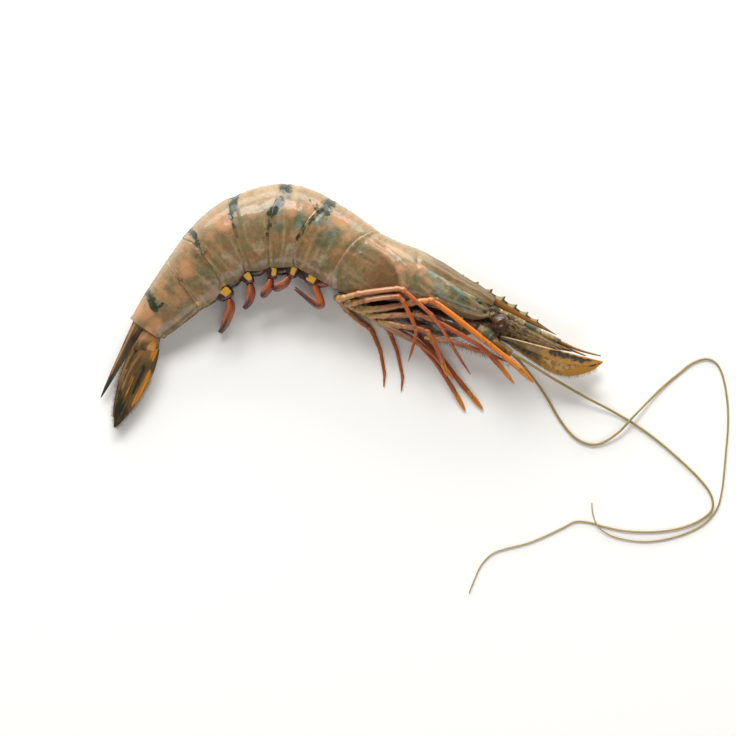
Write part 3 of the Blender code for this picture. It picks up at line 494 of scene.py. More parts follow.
s = -u + np.where(rows_u < 9.0, seam_sweep(0, t_round) * (1 - rows_u / 9.0), 0.0)
rough = body_place(s, v, w * side_round)
lift = lift + 0.2 * lumps(rough, 6.0, 4) + 0.07 * lumps(rough, 1.8, 5)
gill_top = np.interp(u, [p[0] for p in GILL_RIDGE], [p[1] for p in GILL_RIDGE])
marks = {key: np.zeros(u.shape) for key in SHELL_MARKS}
# Dark green gathers round the eye socket and under the ridge that runs back from it.
SOCKET_DARKS = ((((44, 8.9), (46.6, 8.6), (49, 8)), 1.3, 0.62), (((45.5, 6.4), (48.6, 7)), 1, 0.58),
                (((38, 7), (43, 6.6)), 0.9, 0.42), (((33, 9.9), (41, 9.6), (47, 9.6)), 0.6, 0.45))
patches = (("blush", SHIELD_BLUSHES), ("green", SHIELD_GREENS), ("rim", SHIELD_PALES))
paint(marks, u, v, (("band", SOCKET_DARKS),), patches)
clear_bands(marks)
marks["gill"] = ease(-2.2, 3.6, gill_top - v) * (1 - ease(16.0, 23.0, u)) * ease(0.6, 4.0, u)
marks["gill"] = marks["gill"] * (0.2 + 0.8 * ease(4.5, 15.5, u + 0.5 * v))
# Painted shade along the inside of the gill ridge's front end.
deepen(marks, "painted_crease_shade", 0.42 * brush(u, v, ((13.5, 5.0), (16.6, 2.4), (17.6, 0.6)), 1.5, 0.95))
marks["muscle"] = 0.5 + 0.5 * flat_lumps(0.16 * u, v, 1.3, 11)
# The shield's back is painted paler too, partly its own tone and partly painted light from above, less over the gills
# and the crest.
marks["pale_back_and_painted_light"] = ease(2.0, 12.5, v) * (1 - 0.4 * marks["gill"]) * (1 - 0.8 * ease(20.0, 32.0, u) * ease(9.5, 11.3, v))
marks["green"] = marks["green"] * 1.12
deepen(marks, "rim", 0.52 * hump(u, 0.5, 0.6))
marks["horn"] = ease(13.0, 32.0, u) * ease(9.8, 11.4, v) * (1 - 0.6 * ease(2.4, 6.0, np.abs(w)))
marks["muscle"] = marks["muscle"] + 0.35 * marks["gill"] * flat_lumps(u, 0.12 * v, 0.9, 14)
deepen(marks, "rim", 0.5 * brush(u, v, ((22.0, 11.9), (34.0, 11.6), (49.0, 11.2)), 0.3))
deepen(marks, "rim", 0.6 * hump(t, LOBE_T, 0.018))
deepen(marks, "blush", 0.5 * brush(u, v, GILL_RIDGE, 1.8))
# Painted shade in the shield's grooves, and in the groove before its rear rim.
for groove, strength, width in ((2, 0.4, 0.7), (3, 0.5, 0.5), (4, 0.6, 0.5)):
    deepen(marks, "painted_crease_shade", strength * brush(u, v, SHIELD_RELIEF[groove][0], width))
deepen(marks, "painted_crease_shade", 0.2 * hump(u, 1.7, 0.5))
reach = 1 + lift / np.maximum(np.hypot(v, w), 2.0)
skin("carapace_shield", body_place(s, v * reach, w * reach * side_round)[::-1],
     {key: value[::-1] for key, value in marks.items()}, shell, "shell", "carapace")

# ---- The rostrum
# The shield's front spike: a stiff blade with forward-pointing teeth above, three below, and a thick
# amber-brown spine along its middle. The teeth end in clear horn.
BLADE_U = (24, 38, 50, 60, 68, 73.5)
BLADE_TOP = (13, 13.6, 13.8, 13.3, 12.75, 12.3)
BLADE_BASE = (11.8, 11, 10.6, 10.8, 11.55, 12.2)
UPPER_TEETH = ((33.1, 3, 1.1), (38.6, 3, 1.3), (44, 2.9, 1.4), (49, 2.9, 1.4), (53.9, 2.8, 1.3), (58.7, 2.6, 1.15),
               (63.1, 2.5, 1))
LOWER_TEETH = ((54, 3.2, 0.8), (59, 3, 0.8), (63.5, 2.8, 0.7))
# Rostrum horn: brown clouded blade, amber spine, dark edges and clear pale tooth tips under a wet film.
horn = wet_finish(
    "rostrum_horn", "#73511f", {"mottle": ("Noise", 1.5, {"Detail": 4.0})}, {},
    (("mottle", 0.45, 0.7, 0.6, "#452b10"), ("spine", 0.2, 1.0, 0.85, "#8a5a1c"), ("edge", 0.2, 0.8, 0.8, "#3a2c16"),
     ("tooth", 0.2, 0.8, 0.85, "#a5a07a"), ("root", 0.0, 1.0, 0.8, "#72491b")),
    ("mottle", 0.3, 0.3), gloss(0.42, 0.25, 0.35, 0.18))

tips = [start + length + step for start, length, height in UPPER_TEETH for step in (-0.02, 0.35)]
u = np.unique(np.concatenate((np.linspace(26.0, 73.5, 190), tips)))
tooth = np.zeros(len(u))
for start, length, height in UPPER_TEETH:
    past = u - (start + length)
    rise = np.clip((u - start) / length, 0.0, 1.0) ** 1.5 * (past <= 0)
    tooth = np.maximum(tooth, height * (rise + 0.15 * (1 - ease(0.0, 0.8, past)) * (past > 0)))
fang = np.zeros(len(u))
for start, length, height in LOWER_TEETH:
    fang = np.maximum(fang, height * np.clip((u - start) / length, 0.0, 1.0) ** 1.6 * (u <= start + length))
top, base = flow(BLADE_U, BLADE_TOP, u), flow(BLADE_U, BLADE_BASE, u)
up_face = np.linspace(-1, 1, 21)
heights = np.concatenate((up_face, up_face[-2:0:-1]))
faces_side = np.where(np.arange(len(heights)) < len(up_face), 1.0, -1.0)
middle, half = ((top + base) / 2)[:, None], ((top - base) / 2)[:, None]
h = np.broadcast_to(heights, (len(u), len(heights)))
v = middle + half * h + np.where(h > 0, tooth[:, None] * h ** 3, fang[:, None] * -np.abs(h) ** 3)
spine = hump(h, -0.15, 0.62, 4)
thick = (0.22 + 0.5 * spine) * (1 - 0.75 * ease(26.0, 73.5, u)[:, None]) * np.sqrt(np.clip(1.02 - h * h, 0.02, 1))
patch = sum(hump(u - start, 0.4 * length, 1.35, 4) for start, length, height in UPPER_TEETH)
marks = {"spine": spine, "tooth": patch[:, None] * ease(0.35, 0.65, h),
         "edge": ease(0.35, 0.7, h) + 0.6 * ease(-0.75, -0.95, h), "root": 1 - ease(30.0, 40.0, u)[:, None]}
skin("rostrum_blade", body_place(-u[:, None], v, thick * faces_side), marks, horn, "shell", "carapace")

# ---- The body under the shield
# Soft wet skin over the breastplate, ribbed where each pair of legs springs from it.
THORAX_U = (2.5, 8, 14, 20, 26, 32, 38, 44, 48.5)
THORAX_TOP = (-11.7, -10.4, -7.9, -4.9, -2.3, -0.4, 0.6, 1.5, 2.6)
THORAX_BOTTOM = (-12.3, -12.2, -12.1, -11.7, -10.7, -9.5, -7.9, -5.6, -3.2)
THORAX_HALF = (3, 4.6, 4.6, 4.3, 3.8, 3.4, 3.2, 3.2, 2.4)


def turns(count):
    """Angles round a section, at even steps."""
    return np.arange(count) * (2 * np.pi / count)


# Belly skin: dull brown flesh under a wet film, with pale fibres in streaks and a few red flushes.
soft_skin = wet_finish(
    "wet_belly_skin", "#4d3820",
    {"cloud": ("Noise", 4.0, {"Detail": 4.0}), "streak": ("Noise", 1.2, {"Detail": 4.0})}, {},
    (("cloud", 0.45, 0.65, 0.8, "#3a2a1e"), ("streak", 0.52, 0.7, 0.75, "#94805a"),
     ("cloud", 0.62, 0.8, 0.5, "#9a5a3c")),
    ("streak", 0.5, 0.6), gloss(0.4, 0.3, 0.5, 0.1))
turn = turns(48)
u = np.linspace(2.5, 48.5, 120)[:, None]
top, bottom = flow(THORAX_U, THORAX_TOP, u), flow(THORAX_U, THORAX_BOTTOM, u)
rib = 1 + 0.07 * np.sin(2 * np.pi * (u - 2.0) / 4.3) * (1 - ease(26.0, 32.0, u))
rib = rib * np.sqrt(np.clip(1 - ((u - 36.0) / 12.6).clip(0, 1) ** 4, 0.01, 1))
v = (top + bottom) / 2 + (top - bottom) / 2 * np.cos(turn) * rib
w = flow(THORAX_U, THORAX_HALF, u) * np.sin(turn) * rib


def soft_body(name, node, u, v, w, unevenness, grain, seed):
    """A closed body of soft skin whose surface is a little uneven (mm)."""
    grid = body_place(-u, v, w)
    outward = np.stack(np.broadcast_arrays(0 * v, np.cos(turn), np.sin(turn)), -1)
    grid = grid + unevenness * MM * lumps(grid, grain, seed)[..., None] * outward
    skin(name, grid, {}, soft_skin, "underside", node)


soft_body("breast", "thorax", u, v, w, 0.2, 2.5, 7)
# The brow closes the front of the shield round the eye stalks, and the cheek closes the head's
# underside between the two antenna bases: first and last place, how blunt, middle, half sizes, thinning.
for name, node, first, last, span, power, rows, middle, high, half, thinning, seed in (
    ("brow", "carapace", 45.0, 54.2, 9.3, 3, 40, 7.4, 3.2, 3.4, 0.12, 8),
    ("cheek", "thorax", 43.0, 60.0, 17.0, 2.4, 60, 1.4, 3.4, 3.0, 0.05, 9),
):
    u = np.linspace(first, last, rows)[:, None]
    close = np.sqrt(np.clip(1 - ((u - first) / span) ** power, 0.0, 1))
    v = middle + 0.1 * (u - first) + high * close * np.cos(turn)
    w = (half - thinning * (u - first)) * close * np.sin(turn)
    soft_body(name, node, u, v, w, 0.22, 1.6, seed)


# ---- The tail: telson and fan
# The telson is a hard three-sided spike, grooved down its back. Each side of the fan has a short stalk
# and two thin blades stiffened by ribs: dark wet chitin with amber edges.
TAIL_DROP = 0.05
TELSON_TURN, TELSON_ROOT, TELSON_LENGTH, TELSON_HEIGHT, TELSON_WIDTH = math.radians(8.1), (1.2, 3.1), 27.6, 4.2, 5.8
SIDES = ((1.0, "right"), (-1.0, "left"))
FAN_TURN, FAN_ROOT, STALK_LENGTH, FAN_GAP = math.radians(12.7), (1.2, -2.2), 5.0, 0.45


def tail_place(root, turn, a, v, w):
    """Places (m) in a frame hung on the last seam and turned from the body line."""
    heading = float(np.interp(SEAMS[-1], ROUTE_S, ROUTE_HEADING))
    x, y = (float(np.interp(SEAMS[-1], ROUTE_S, route)) for route in (ROUTE_X, ROUTE_Y))
    x += root[0] * math.cos(heading) + root[1] * math.sin(heading)
    y += root[0] * math.sin(heading) - root[1] * math.cos(heading)
    heading += turn
    z = SEAM_HALVES[-1] - REST_SINK - TAIL_DROP * (root[0] + a) + w
    a, v, z = np.broadcast_arrays(a, v, z)
    x = x + a * math.cos(heading) + v * math.sin(heading)
    y = y + a * math.sin(heading) - v * math.cos(heading)
    return np.stack((x, y, np.maximum(z, FLOOR_GAP)), -1) * MM


# Wet tail blade: near-black green chitin that thins to amber and orange at the ribs and edges.
# Its ribs and streaks run along the blade: the map's first axis is mm along, the second mm across.
fan_chitin = wet_finish(
    "tail_fan_chitin", "#594423",
    {"cloud": ("Noise", 3.5, {"Detail": 3.0}), "streak": ("Noise", (9.0, 0.6), {"Detail": 3.0, "Roughness": 0.6})},
    {"streaked_" + key: ("streak", 3.0, key) for key in ("dark", "amber", "pale")},
    (("cloud", 0.4, 0.65, 0.6, "#3d3119"), ("streak", 0.5, 0.68, 0.6, "#8d6330"),
     ("flesh", 0.1, 0.9, 0.85, "#8d6238"),
     ("streaked_pale", 1.9, 2.7, 0.8, "#b98a5e"), ("streaked_dark", 1.75, 2.5, 0.95, "#141a13"),
     ("streaked_amber", 1.9, 2.7, 0.92, "#b87618")),
    ("streak", 0.5, 0.4), gloss(0.38, 0.3, 0.4, 0.16))

turn = turns(72)
share = np.concatenate((np.linspace(0, 0.97, 90), np.linspace(0.975, 1.0, 8)))[:, None]
size = (1 - share) ** 0.72 + 0.06
profile_turn = np.array((0.0, 32.0, 62.0, 100.0, 155.0, 180.0, 205.0, 260.0, 298.0, 328.0, 360.0)) * np.pi / 180
profile_v = (0.8, 1.0, 0.5, -0.3, -0.95, -1.0, -0.95, -0.3, 0.5, 1.0, 0.8)
profile_w = (0.0, 0.34, 0.9, 1.0, 0.45, 0.0, -0.45, -1.0, -0.9, -0.34, 0.0)
v = np.interp(turn, profile_turn, profile_v) * TELSON_HEIGHT / 2 * size
w = np.interp(turn, profile_turn, profile_w) * TELSON_WIDTH / 2 * size
groove = 1 - 0.16 * hump(turn, math.radians(46), 0.12) - 0.12 * hump(turn, math.radians(80), 0.14)
a = (TELSON_LENGTH + 2.2) * share - 2.2
marks = {
    "dark": 1.1 * ease(0.68, 0.86, share) + 0.6 * hump(turn, math.radians(92), 0.3) * ease(0.05, 0.25, share)
    + 0.35 * hump(turn, 4.6, 1.2) + 0.2,
    "amber": 0.15 * hump(share, 0.4, 0.3),
    "pale": (0.85 * hump(turn, math.radians(60), 0.16) + 0.6 * hump(turn, math.radians(30), 0.2) + 0.35)
    * (1 - ease(0.66, 0.78, share)),
    "flesh": 0.8 * (1 - ease(0.0, 0.35, share)),
}
skin("telson_spike", tail_place(TELSON_ROOT, TELSON_TURN, a, v * groove, w * groove), marks, fan_chitin, "shell",
     "telson", ways=(a, 8 * turn / np.pi))


def shares(count):
    """A column of even shares from 0 to 1, for the rows of a grid."""
    return np.linspace(0, 1, count)[:, None]


def leaf_breadth(share, root, fullest):
    """Breadth of a blade along its length: a stalk-like root, a full middle, a blunt point."""
    rise = root + (1 - root) * np.sin(np.pi / 2 * np.clip(share / fullest, 0, 1))
    fall = np.maximum(np.cos(np.pi / 2 * np.clip((share - fullest) / (1 - fullest), 0, 1)) ** 0.7, 0.06)
    return np.where(share < fullest, rise, fall)


FAN_BLADES = {"exopod": (28.5, 8.4, -1.9, 3.2), "endopod": (25.5, 6.4, 1.5, 1.75)}
for side, hand in SIDES:
    share = shares(46)
    high = flow((0.0, 0.35, 0.75, 0.92, 1.0), (2.5, 3.3, 3.9, 3.8, 3.3), share)
    wide = flow((0.0, 0.35, 0.75, 0.92, 1.0), (1.0, 1.4, 1.5, 0.9, 0.25), share)
    step = 1 + 0.03 * np.sin(share * 9 + 2 * turn)
    grid = tail_place(FAN_ROOT, FAN_TURN, (STALK_LENGTH + 3.6) * share - 2.4 + 0.7 * np.cos(turn) * share,
                      -0.3 + high * np.cos(turn) * step, 2.9 * side + wide * np.sin(turn) * step)
    marks = {"dark": 0.15 + 0.3 * ease(0.6, 1.0, share) * ease(0.0, 0.6, np.cos(turn)),
             "amber": 1.5 * blot(share, np.cos(turn), (0.74, -0.5), (0.36, 0.6)),
             "pale": 0.35 + 0.3 * hump(np.cos(turn), 0.5, 0.25), "flesh": 0.9 * (1 - ease(0.3, 0.95, share))}
    skin(f"fan_stalk_{hand}", grid, marks, fan_chitin, "tail_blade", f"uropod_stalk_{hand}",
         ways=(5 * share, 6 * turn / np.pi))
    for part, (length, width, v0, w0) in FAN_BLADES.items():
        share = shares(110)
        half = width / 2 * leaf_breadth(share, 0.66, 0.3)
        across = np.cos(turn)
        ribs = 1 + 0.5 * hump(across, 0.05, 0.09) + 0.4 * hump(across, -0.4, 0.08) + 0.45 * hump(across, -0.93, 0.08)
        ribs = ribs + 0.1 * np.sin(across * 34)
        thick = 0.4 * (1 - 0.5 * share) * np.abs(np.sin(turn)) ** 0.7 * np.sign(np.sin(turn)) * ribs
        curl = 0.25 * np.sin(share * 5 + across) + 0.35 * share * across ** 2
        a = STALK_LENGTH - 1.4 + (length + 1.4 + FAN_GAP) * share
        grid = tail_place(FAN_ROOT, FAN_TURN, a, v0 * (1 - 0.5 * share) + half * across,
                          w0 * side * (1 - 0.35 * share) + thick + curl * side * 0.5)
        outer = part == "exopod"
        marks = {
            "dark": strongest(
                ease(0.57, 0.76, share + 0.12 * across), 0.35,
                0.95 * brush(share * 6, across, ((1.5, -0.15), (3.3, -0.3)), 0.42),
                0.7 * brush(share * 6, across, ((3.0, 0.35), (5.4, 0.2)), 0.5),
                0.6 * (1 - ease(0.0, 0.2, share)) * (across > 0.5)),
            "amber": strongest(
                1.3 * blot(share, across, (0.04, -0.55), (0.17, 0.55)) * outer,
                1.25 * outer * ease(0.2, 0.3, share) * (1 - ease(0.62, 0.8, share)) * hump(across, -0.82, 0.34),
                0.75 * brush(share * 6, across, ((2.4, 0.35), (4.2, 0.3)), 0.35), 0.3 * ease(0.2, 0.4, share)),
            "pale": np.maximum(0.8 * brush(share * 6, across, ((0.0, 0.5), (1.6, 0.75), (4.4, 0.9)), 0.3),
                               0.45 * brush(share * 6, across, ((0.2, 0.0), (1.6, 0.1)), 0.3)),
            "flesh": 0.8 * (1 - ease(0.0, 0.28, share)) * (across > -0.3),
        }
        skin(f"fan_{part}_{hand}", grid, marks, fan_chitin, "tail_blade", f"uropod_{part}_{hand}",
             ways=(a, half * across))

# ---- The swimming legs
# A broad fleshy stem under each plate, purple-black with a bright yellow patch, carrying two thin
# orange-pink paddles that fold back along the belly.
PADDLE_SPOTS = (8.8, 17.8, 30.9, 46.2, 59.8)
PATCH_SPOTS = (8.6, 16.8, 28.6, 44.9, 58.6)
PADDLE_ROUTE = ((0.2, -3.4), (2.2, -5.8), (7, -7.4), (9.8, -8), (12.4, -8.4))
FOLD_LENGTH = 12.5
PADDLE_CLEARANCE = 0.0001
FIRST_ROUTE = ((-1.2, -1.4), (-4.2, -3.4), (-8, -5.8), (-8.9, -6.9), (-7.6, -7.8), (-3, -7.6), (4, -6.8))


def unit(vectors):
    """The same directions at length one."""
    return vectors / np.linalg.norm(vectors, axis=-1, keepdims=True)


def carry(amounts, ways):
    """A grid of amounts, each carried along its own row's way."""
    return amounts[..., None] * ways[:, None]


# Swimming leg skin: purple-black and wet, flushed orange-red in streaks along each paddle, with a bright
# yellow patch on the stem.
paddle_skin = wet_finish(
    "swimming_leg_skin", "#33201a",
    {"cloud": ("Noise", 2.0, {"Detail": 3.0}), "streak": ("Noise", (6.0, 0.5), {"Detail": 3.0})},
    {"flushed": ("streak", 0.9, "warm"), "patch": ("cloud", 1.3, "yellow")},
    (("cloud", 0.5, 0.7, 0.8, "#1c110f"), ("flushed", 0.7, 1.1, 0.85, "#823521"),
     ("flushed", 1.0, 1.4, 0.7, "#b05e2c"),
     ("patch", 0.9, 1.15, 0.8, "#a98a66"), ("patch", 1.15, 1.55, 0.95, "#c2900f")),
    ("streak", 0.5, 0.3), gloss(0.4, 0.3, 0.5, 0.08))

turn = turns(28)
for index in range(5):
    spot, patch_spot = PADDLE_SPOTS[index], PATCH_SPOTS[index]
    depth = float(flow(SEAMS, SEAM_DEPTHS, np.array(spot))) * (1 + LOBE_DEPTHS[index])
    half = float(flow(SEAMS, SEAM_HALVES, np.array(spot)))
    for side, hand in SIDES:
        # The stem: a flat block tucked up along the belly, its front outer corner carrying the patch.
        share = shares(30)
        square = np.sqrt(np.clip(1 - (2 * share - 1) ** 6, 0.02, 1))
        centre_s = (spot + patch_spot) / 2 + 1.2 - 1.4 * share
        reach_s = (4.3 - 1.9 * share ** 1.5) * square
        fall = -depth + 1.9 - 5.2 * share
        corner_s = np.sign(np.cos(turn)) * np.abs(np.cos(turn)) ** 0.7
        corner_w = np.sign(np.sin(turn)) * np.abs(np.sin(turn)) ** 0.7
        s = centre_s + reach_s * corner_s
        w = side * (half * (0.52 + 0.05 * share) + (1.9 - 0.6 * share) * corner_w * square)
        outward = ease(-0.2, 0.2, np.sin(turn))
        patch = (1 - ease(1.3, 1.8, np.abs(s - patch_spot))) * (1 - ease(1.1, 1.6, np.abs(fall + depth + 0.9)))
        skin(f"swimmer_stem_{index + 1}_{hand}", body_place(s, fall, w),
             {"yellow": patch * outward, "warm": 0.1 + 0.5 * ease(0.7, 1.0, share)}, paddle_skin, "swimmeret",
             f"swimmeret_{index + 1}_{hand}", ways=(5 * share, s - spot))
        # Two paddles, one on each side of the solid's line.
        route = FIRST_ROUTE if index == 0 else PADDLE_ROUTE
        knots = np.linspace(0, 1, len(route))
        for blade, (aside, dip, breadth) in enumerate(((0.9, 0.0, 1.7), (-0.9, 0.7, 1.3))):
            share = shares(60)
            line_s = spot + flow(knots, [p[0] for p in route], share)
            line_v = -depth + flow(knots, [p[1] for p in route], share) - dip * np.sin(np.pi * share) + dip
            centre = body_place(line_s, line_v, side * (half * 0.44 + aside))[:, 0]
            up = np.array((0.0, 0.0, 1.0))
            through = unit(np.cross(unit(np.gradient(centre, axis=0)), up))
            wide = (breadth * np.sin(np.pi * np.clip(share * 0.88 + 0.12, 0, 1)) ** 0.6 + 0.12) * MM
            thick = (0.75 * (1 - share) ** 0.7 + 0.16) * MM
            tilt = 0.7 - 0.3 * blade
            edge_way = up * math.cos(tilt) + through * math.sin(tilt) * side
            face_way = through * math.cos(tilt) - up * math.sin(tilt) * side
            swollen = thick * np.sin(turn) * (1 + 0.3 * hump(np.cos(turn), 0.0, 0.3))
            grid = centre[:, None] + carry(wide * np.cos(turn), edge_way) + carry(swollen, face_way)
            grid[..., 2] = np.maximum(grid[..., 2], PADDLE_CLEARANCE)
            warm_mark = 0.35 + 0.5 * hump(share, 0.35, 0.3) + 0.35 * hump(np.abs(np.cos(turn)), 0.8, 0.25)
            skin(f"swimmer_paddle_{index + 1}_{'ab'[blade]}_{hand}", grid,
                 {"yellow": 0.0, "warm": warm_mark * (1 - (0.4 if index else 0.12) * share)}, paddle_skin,
                 "swimmeret", f"swimmeret_{index + 1}_{hand}", ways=(15 * share, np.cos(turn) * 1.5))
        # The folded inner blade lies forward along the belly and closes the space to the next stem.
        share = shares(50)
        fold_s = patch_spot + 1.0 - min(FOLD_LENGTH, spot - 1.0) * share
        here = flow(SEAMS, SEAM_DEPTHS, np.clip(fold_s, 0, 86))
        ribbon = np.sin(np.pi * np.clip(share * 0.9 + 0.1, 0, 1)) ** 0.5
        fold_v = -here - 0.3 - 0.5 * np.sin(np.pi * share) + (1.9 * ribbon + 0.1) * np.cos(turn)
        fold_w = side * (half * 0.5 + (0.9 * ribbon + 0.1) * np.sin(turn))
        skin(f"swimmer_fold_{index + 1}_{hand}", body_place(fold_s, fold_v, fold_w),
             {"yellow": 0.0, "warm": 0.15 + 0.5 * ease(0.45, 0.8, share)}, paddle_skin, "swimmeret",
             f"swimmeret_{index + 1}_{hand}", ways=(12 * share, 2 * np.cos(turn)))

# ---- The walking legs
# Ten jointed legs, each a stiff thin tube of clear shell over red-orange flesh: cream at the root,
# salmon along the thigh, deep orange below the knee, amber at the tip. The first three pairs pinch.
LEGS = {
    "leg_5_right": ((2, -13.7, 1.6, 1.2), (3, -13.6, 6, 1.2), (4.2, -12.7, 8.6, 1.1), (8, -8.9, 10.3, 1),
                    (13, -5, 10.7, 0.95), (18.5, -1, 10.7, 0.95), (20.3, -0.3, 10.7, 1), (26, -1.5, 10.8, 0.75),
                    (32.9, -2.9, 9.6, 0.7), (39, -5.6, 7, 0.65), (45.5, -9.2, 4.4, 0.6), (50, -11.6, 1.6, 0.5),
                    (54.5, -13.8, -0.8, 0.22)),
    "leg_4_right": ((6.2, -13.6, 1.6, 1.2), (6.8, -13.4, 5.4, 1.2), (8.4, -12.2, 8, 1.1), (11.5, -9.3, 9.8, 1),
                    (16, -5.8, 10.2, 0.95), (20.2, -2.9, 10.4, 0.95), (22.2, -3.5, 10.4, 0.85), (27, -6.8, 9.8, 0.7),
                    (31, -9.8, 8.6, 0.7), (32.4, -13.5, 6.4, 0.6), (33.4, -17.6, 4.2, 0.5), (34, -20.5, 2.6, 0.2)),
    "leg_3_right": ((10.4, -13.5, 1.6, 1.2), (11.2, -13.1, 4.8, 1.2), (14, -11.6, 6.5, 1.15), (18, -8.8, 6.7, 1.15),
                    (22.5, -4.9, 6.9, 1.1), (25, -2.9, 8.3, 1.1), (27.2, -1.1, 8.7, 1.1), (30.5, 1.2, 9.2, 1.15),
                    (34, 1.1, 9, 1.05), (40, 0.4, 8.7, 1), (52.3, -1.6, 8.1, 1), (60.6, -2.8, 7.3, 0.9),
                    (64, -3.4, 6.9, 1.1), (68, -4.1, 6.4, 1), (74.5, -5.9, 5.6, 0.3)),
    "leg_2_right": ((14.6, -13.3, 1.6, 1.15), (15.6, -12.9, 4.4, 1.15), (19, -11.2, 5.7, 1.05), (24, -8, 5.9, 1),
                    (29.6, -4.9, 6.2, 0.95), (31.5, -4.6, 6.2, 0.9), (38.7, -3.8, 5.7, 0.85), (51.6, -3.9, 5.6, 0.8),
                    (56, -4.7, 5.3, 0.8), (59, -5.6, 5, 0.95), (63, -7, 4.6, 0.85), (69, -9.4, 3.6, 0.25)),
    "leg_1_right": ((18.8, -13, 1.6, 1.05), (20.2, -12.7, 3.8, 1.05), (25, -11.6, 5.2, 1), (31, -9.2, 5.4, 0.95),
                    (35, -8.4, 5.7, 0.95), (40, -11.8, 5, 0.8), (42, -13.2, 4.4, 0.9), (44.5, -15.2, 3.4, 0.8),
                    (48, -18.4, 1.8, 0.25)),
    "leg_5_left": ((2, -13.7, -1.6, 1.2), (3.4, -13.9, -5.2, 1.15), (7, -15.4, -7.6, 1.05), (12, -16.5, -7.9, 0.95),
                   (17, -17, -8, 0.95), (18.6, -17.7, -8, 0.9), (24, -22, -8.2, 0.7), (29, -28, -8.4, 0.6),
                   (31, -32, -8.7, 0.22)),
    "leg_4_left": ((6.2, -13.6, -1.6, 1.2), (8, -13.7, -4.8, 1.15), (12, -13.8, -6.9, 1.05), (22, -14, -7.1, 0.95),
                   (23.6, -14.8, -7.1, 0.9), (29, -19.2, -7.8, 0.7), (35, -26, -8.3, 0.6), (37, -30.5, -8.7, 0.22)),
    "leg_3_left": ((10.4, -13.5, -1.6, 1.2), (12.4, -13.1, -3.9, 1.15), (20, -11.8, -5.3, 1.1),
                   (31, -10.4, -6.2, 1.1),
                   (33, -10.8, -6.4, 1.05), (42, -13.4, -7.2, 0.95), (51, -17, -7.7, 0.9), (54, -18.2, -7.8, 1.05),
                   (59, -20.1, -7.9, 0.9), (64.5, -22.2, -8.1, 0.3)),
    "leg_2_left": ((14.6, -13.3, -1.6, 1.1), (17, -13.9, -2.9, 1.05), (26, -13.8, -4.3, 1), (34, -13.3, -5, 0.95),
                   (35.8, -13.8, -5.2, 0.9), (42, -16, -5.6, 0.8), (48, -19, -6.5, 0.8), (50.5, -20.3, -6.9, 0.95),
                   (54, -22.3, -7.5, 0.85), (59.5, -25.6, -8.2, 0.25)),
    "leg_1_left": ((19.6, -13.1, -1, 1), (26, -12.8, -2, 0.95), (32, -12.9, -2.5, 0.9), (34.8, -13.3, -2.7, 0.85),
                   (40, -14.2, -3.2, 0.75), (42.5, -14.9, -3.6, 0.85), (46, -16.2, -4.2, 0.75),
                   (50.5, -18, -5, 0.25)),
}

HEAD_REST = 9.05
HEAD_FLOOR_GAP = 0.1
LIMB_CLEARANCE = 0.00003


def head_place(u, v, w):
    """Places (m) in the head's own straight frame: u forward, v to the back, w to the right flank."""
    u, v, w = np.broadcast_arrays(np.asarray(u, float), v, w)
    ahead, back = u - NECK_LENGTH, v + 1.0
    x = ahead * math.cos(HEAD_POINTS) - back * math.sin(HEAD_POINTS)
    y = ahead * math.sin(HEAD_POINTS) + back * math.cos(HEAD_POINTS)
    return np.stack((x, y, np.maximum(HEAD_REST + w, HEAD_FLOOR_GAP)), -1) * MM


def head_route(stations, side=1.0):
    """The places (m) and radii (mm) of a route on one side of the head."""
    u, v, w, radii = np.array(stations).T
    return head_place(u, v, w * side), radii


def limb(name, points, radii, finish, tints, slot, node, swell=0.0, flat=1.0, sides=14, pitch=0.4):
    """A jointed tube through places (m): it swells at each bend and is waisted beside it.

    A tint is one level, or a pair of lists: shares of the length, and the level at each.
    """
    points, radii = np.asarray(points, float), np.asarray(radii, float)
    spans = np.linalg.norm(np.diff(points, axis=0), axis=1) / MM
    at = np.concatenate(([0.0], np.cumsum(spans)))
    stops = np.linspace(0, at[-1], max(int(at[-1] / pitch), 12))
    line = np.stack([np.interp(stops, at, points[:, k]) for k in range(3)], -1)
    for _ in range(2):
        line[1:-1] = (line[:-2] + 2 * line[1:-1] + line[2:]) / 4
    ways = unit(np.diff(points, axis=0))
    bends = np.degrees(np.arccos(np.clip((ways[1:] * ways[:-1]).sum(1), -1, 1)))
    joint = np.zeros(len(stops))
    neck = np.zeros(len(stops))
    for where, bend in zip(at[1:-1], bends):
        if bend > 11.0:
            joint = np.maximum(joint, hump(stops, where, 0.7))
            neck = np.maximum(neck, hump(np.abs(stops - where), 1.3, 0.45))
    radius = np.interp(stops, at, radii) * (1 + swell * joint - 0.16 * neck) * MM
    along = unit(np.gradient(line, axis=0))
    frames = [unit(np.cross(along[0], (0.3, 0.2, 1.0)))]
    for way in along[1:]:
        frames.append(unit(frames[-1] - way * np.dot(frames[-1], way)))
    a_way = np.array(frames)
    b_way = np.cross(along, a_way)
    turn, radius = turns(sides), radius[:, None]
    grid = line[:, None] + carry(radius * np.cos(turn) * flat, a_way) + carry(radius * np.sin(turn), b_way)
    grid[..., 2] = np.maximum(grid[..., 2], LIMB_CLEARANCE)
    # The joint mark carries a painted pale highlight on each bend.
    marks = {"along": (stops / at[-1])[:, None], "joint": joint[:, None]}
    for key, value in tints.items():
        level = np.interp(stops / at[-1], *value) if isinstance(value, tuple) else value
        marks[key] = np.reshape(level, (-1, 1))
    return skin(name, grid, marks, finish, slot, node, ways=(stops[:, None], radius / MM * turn))


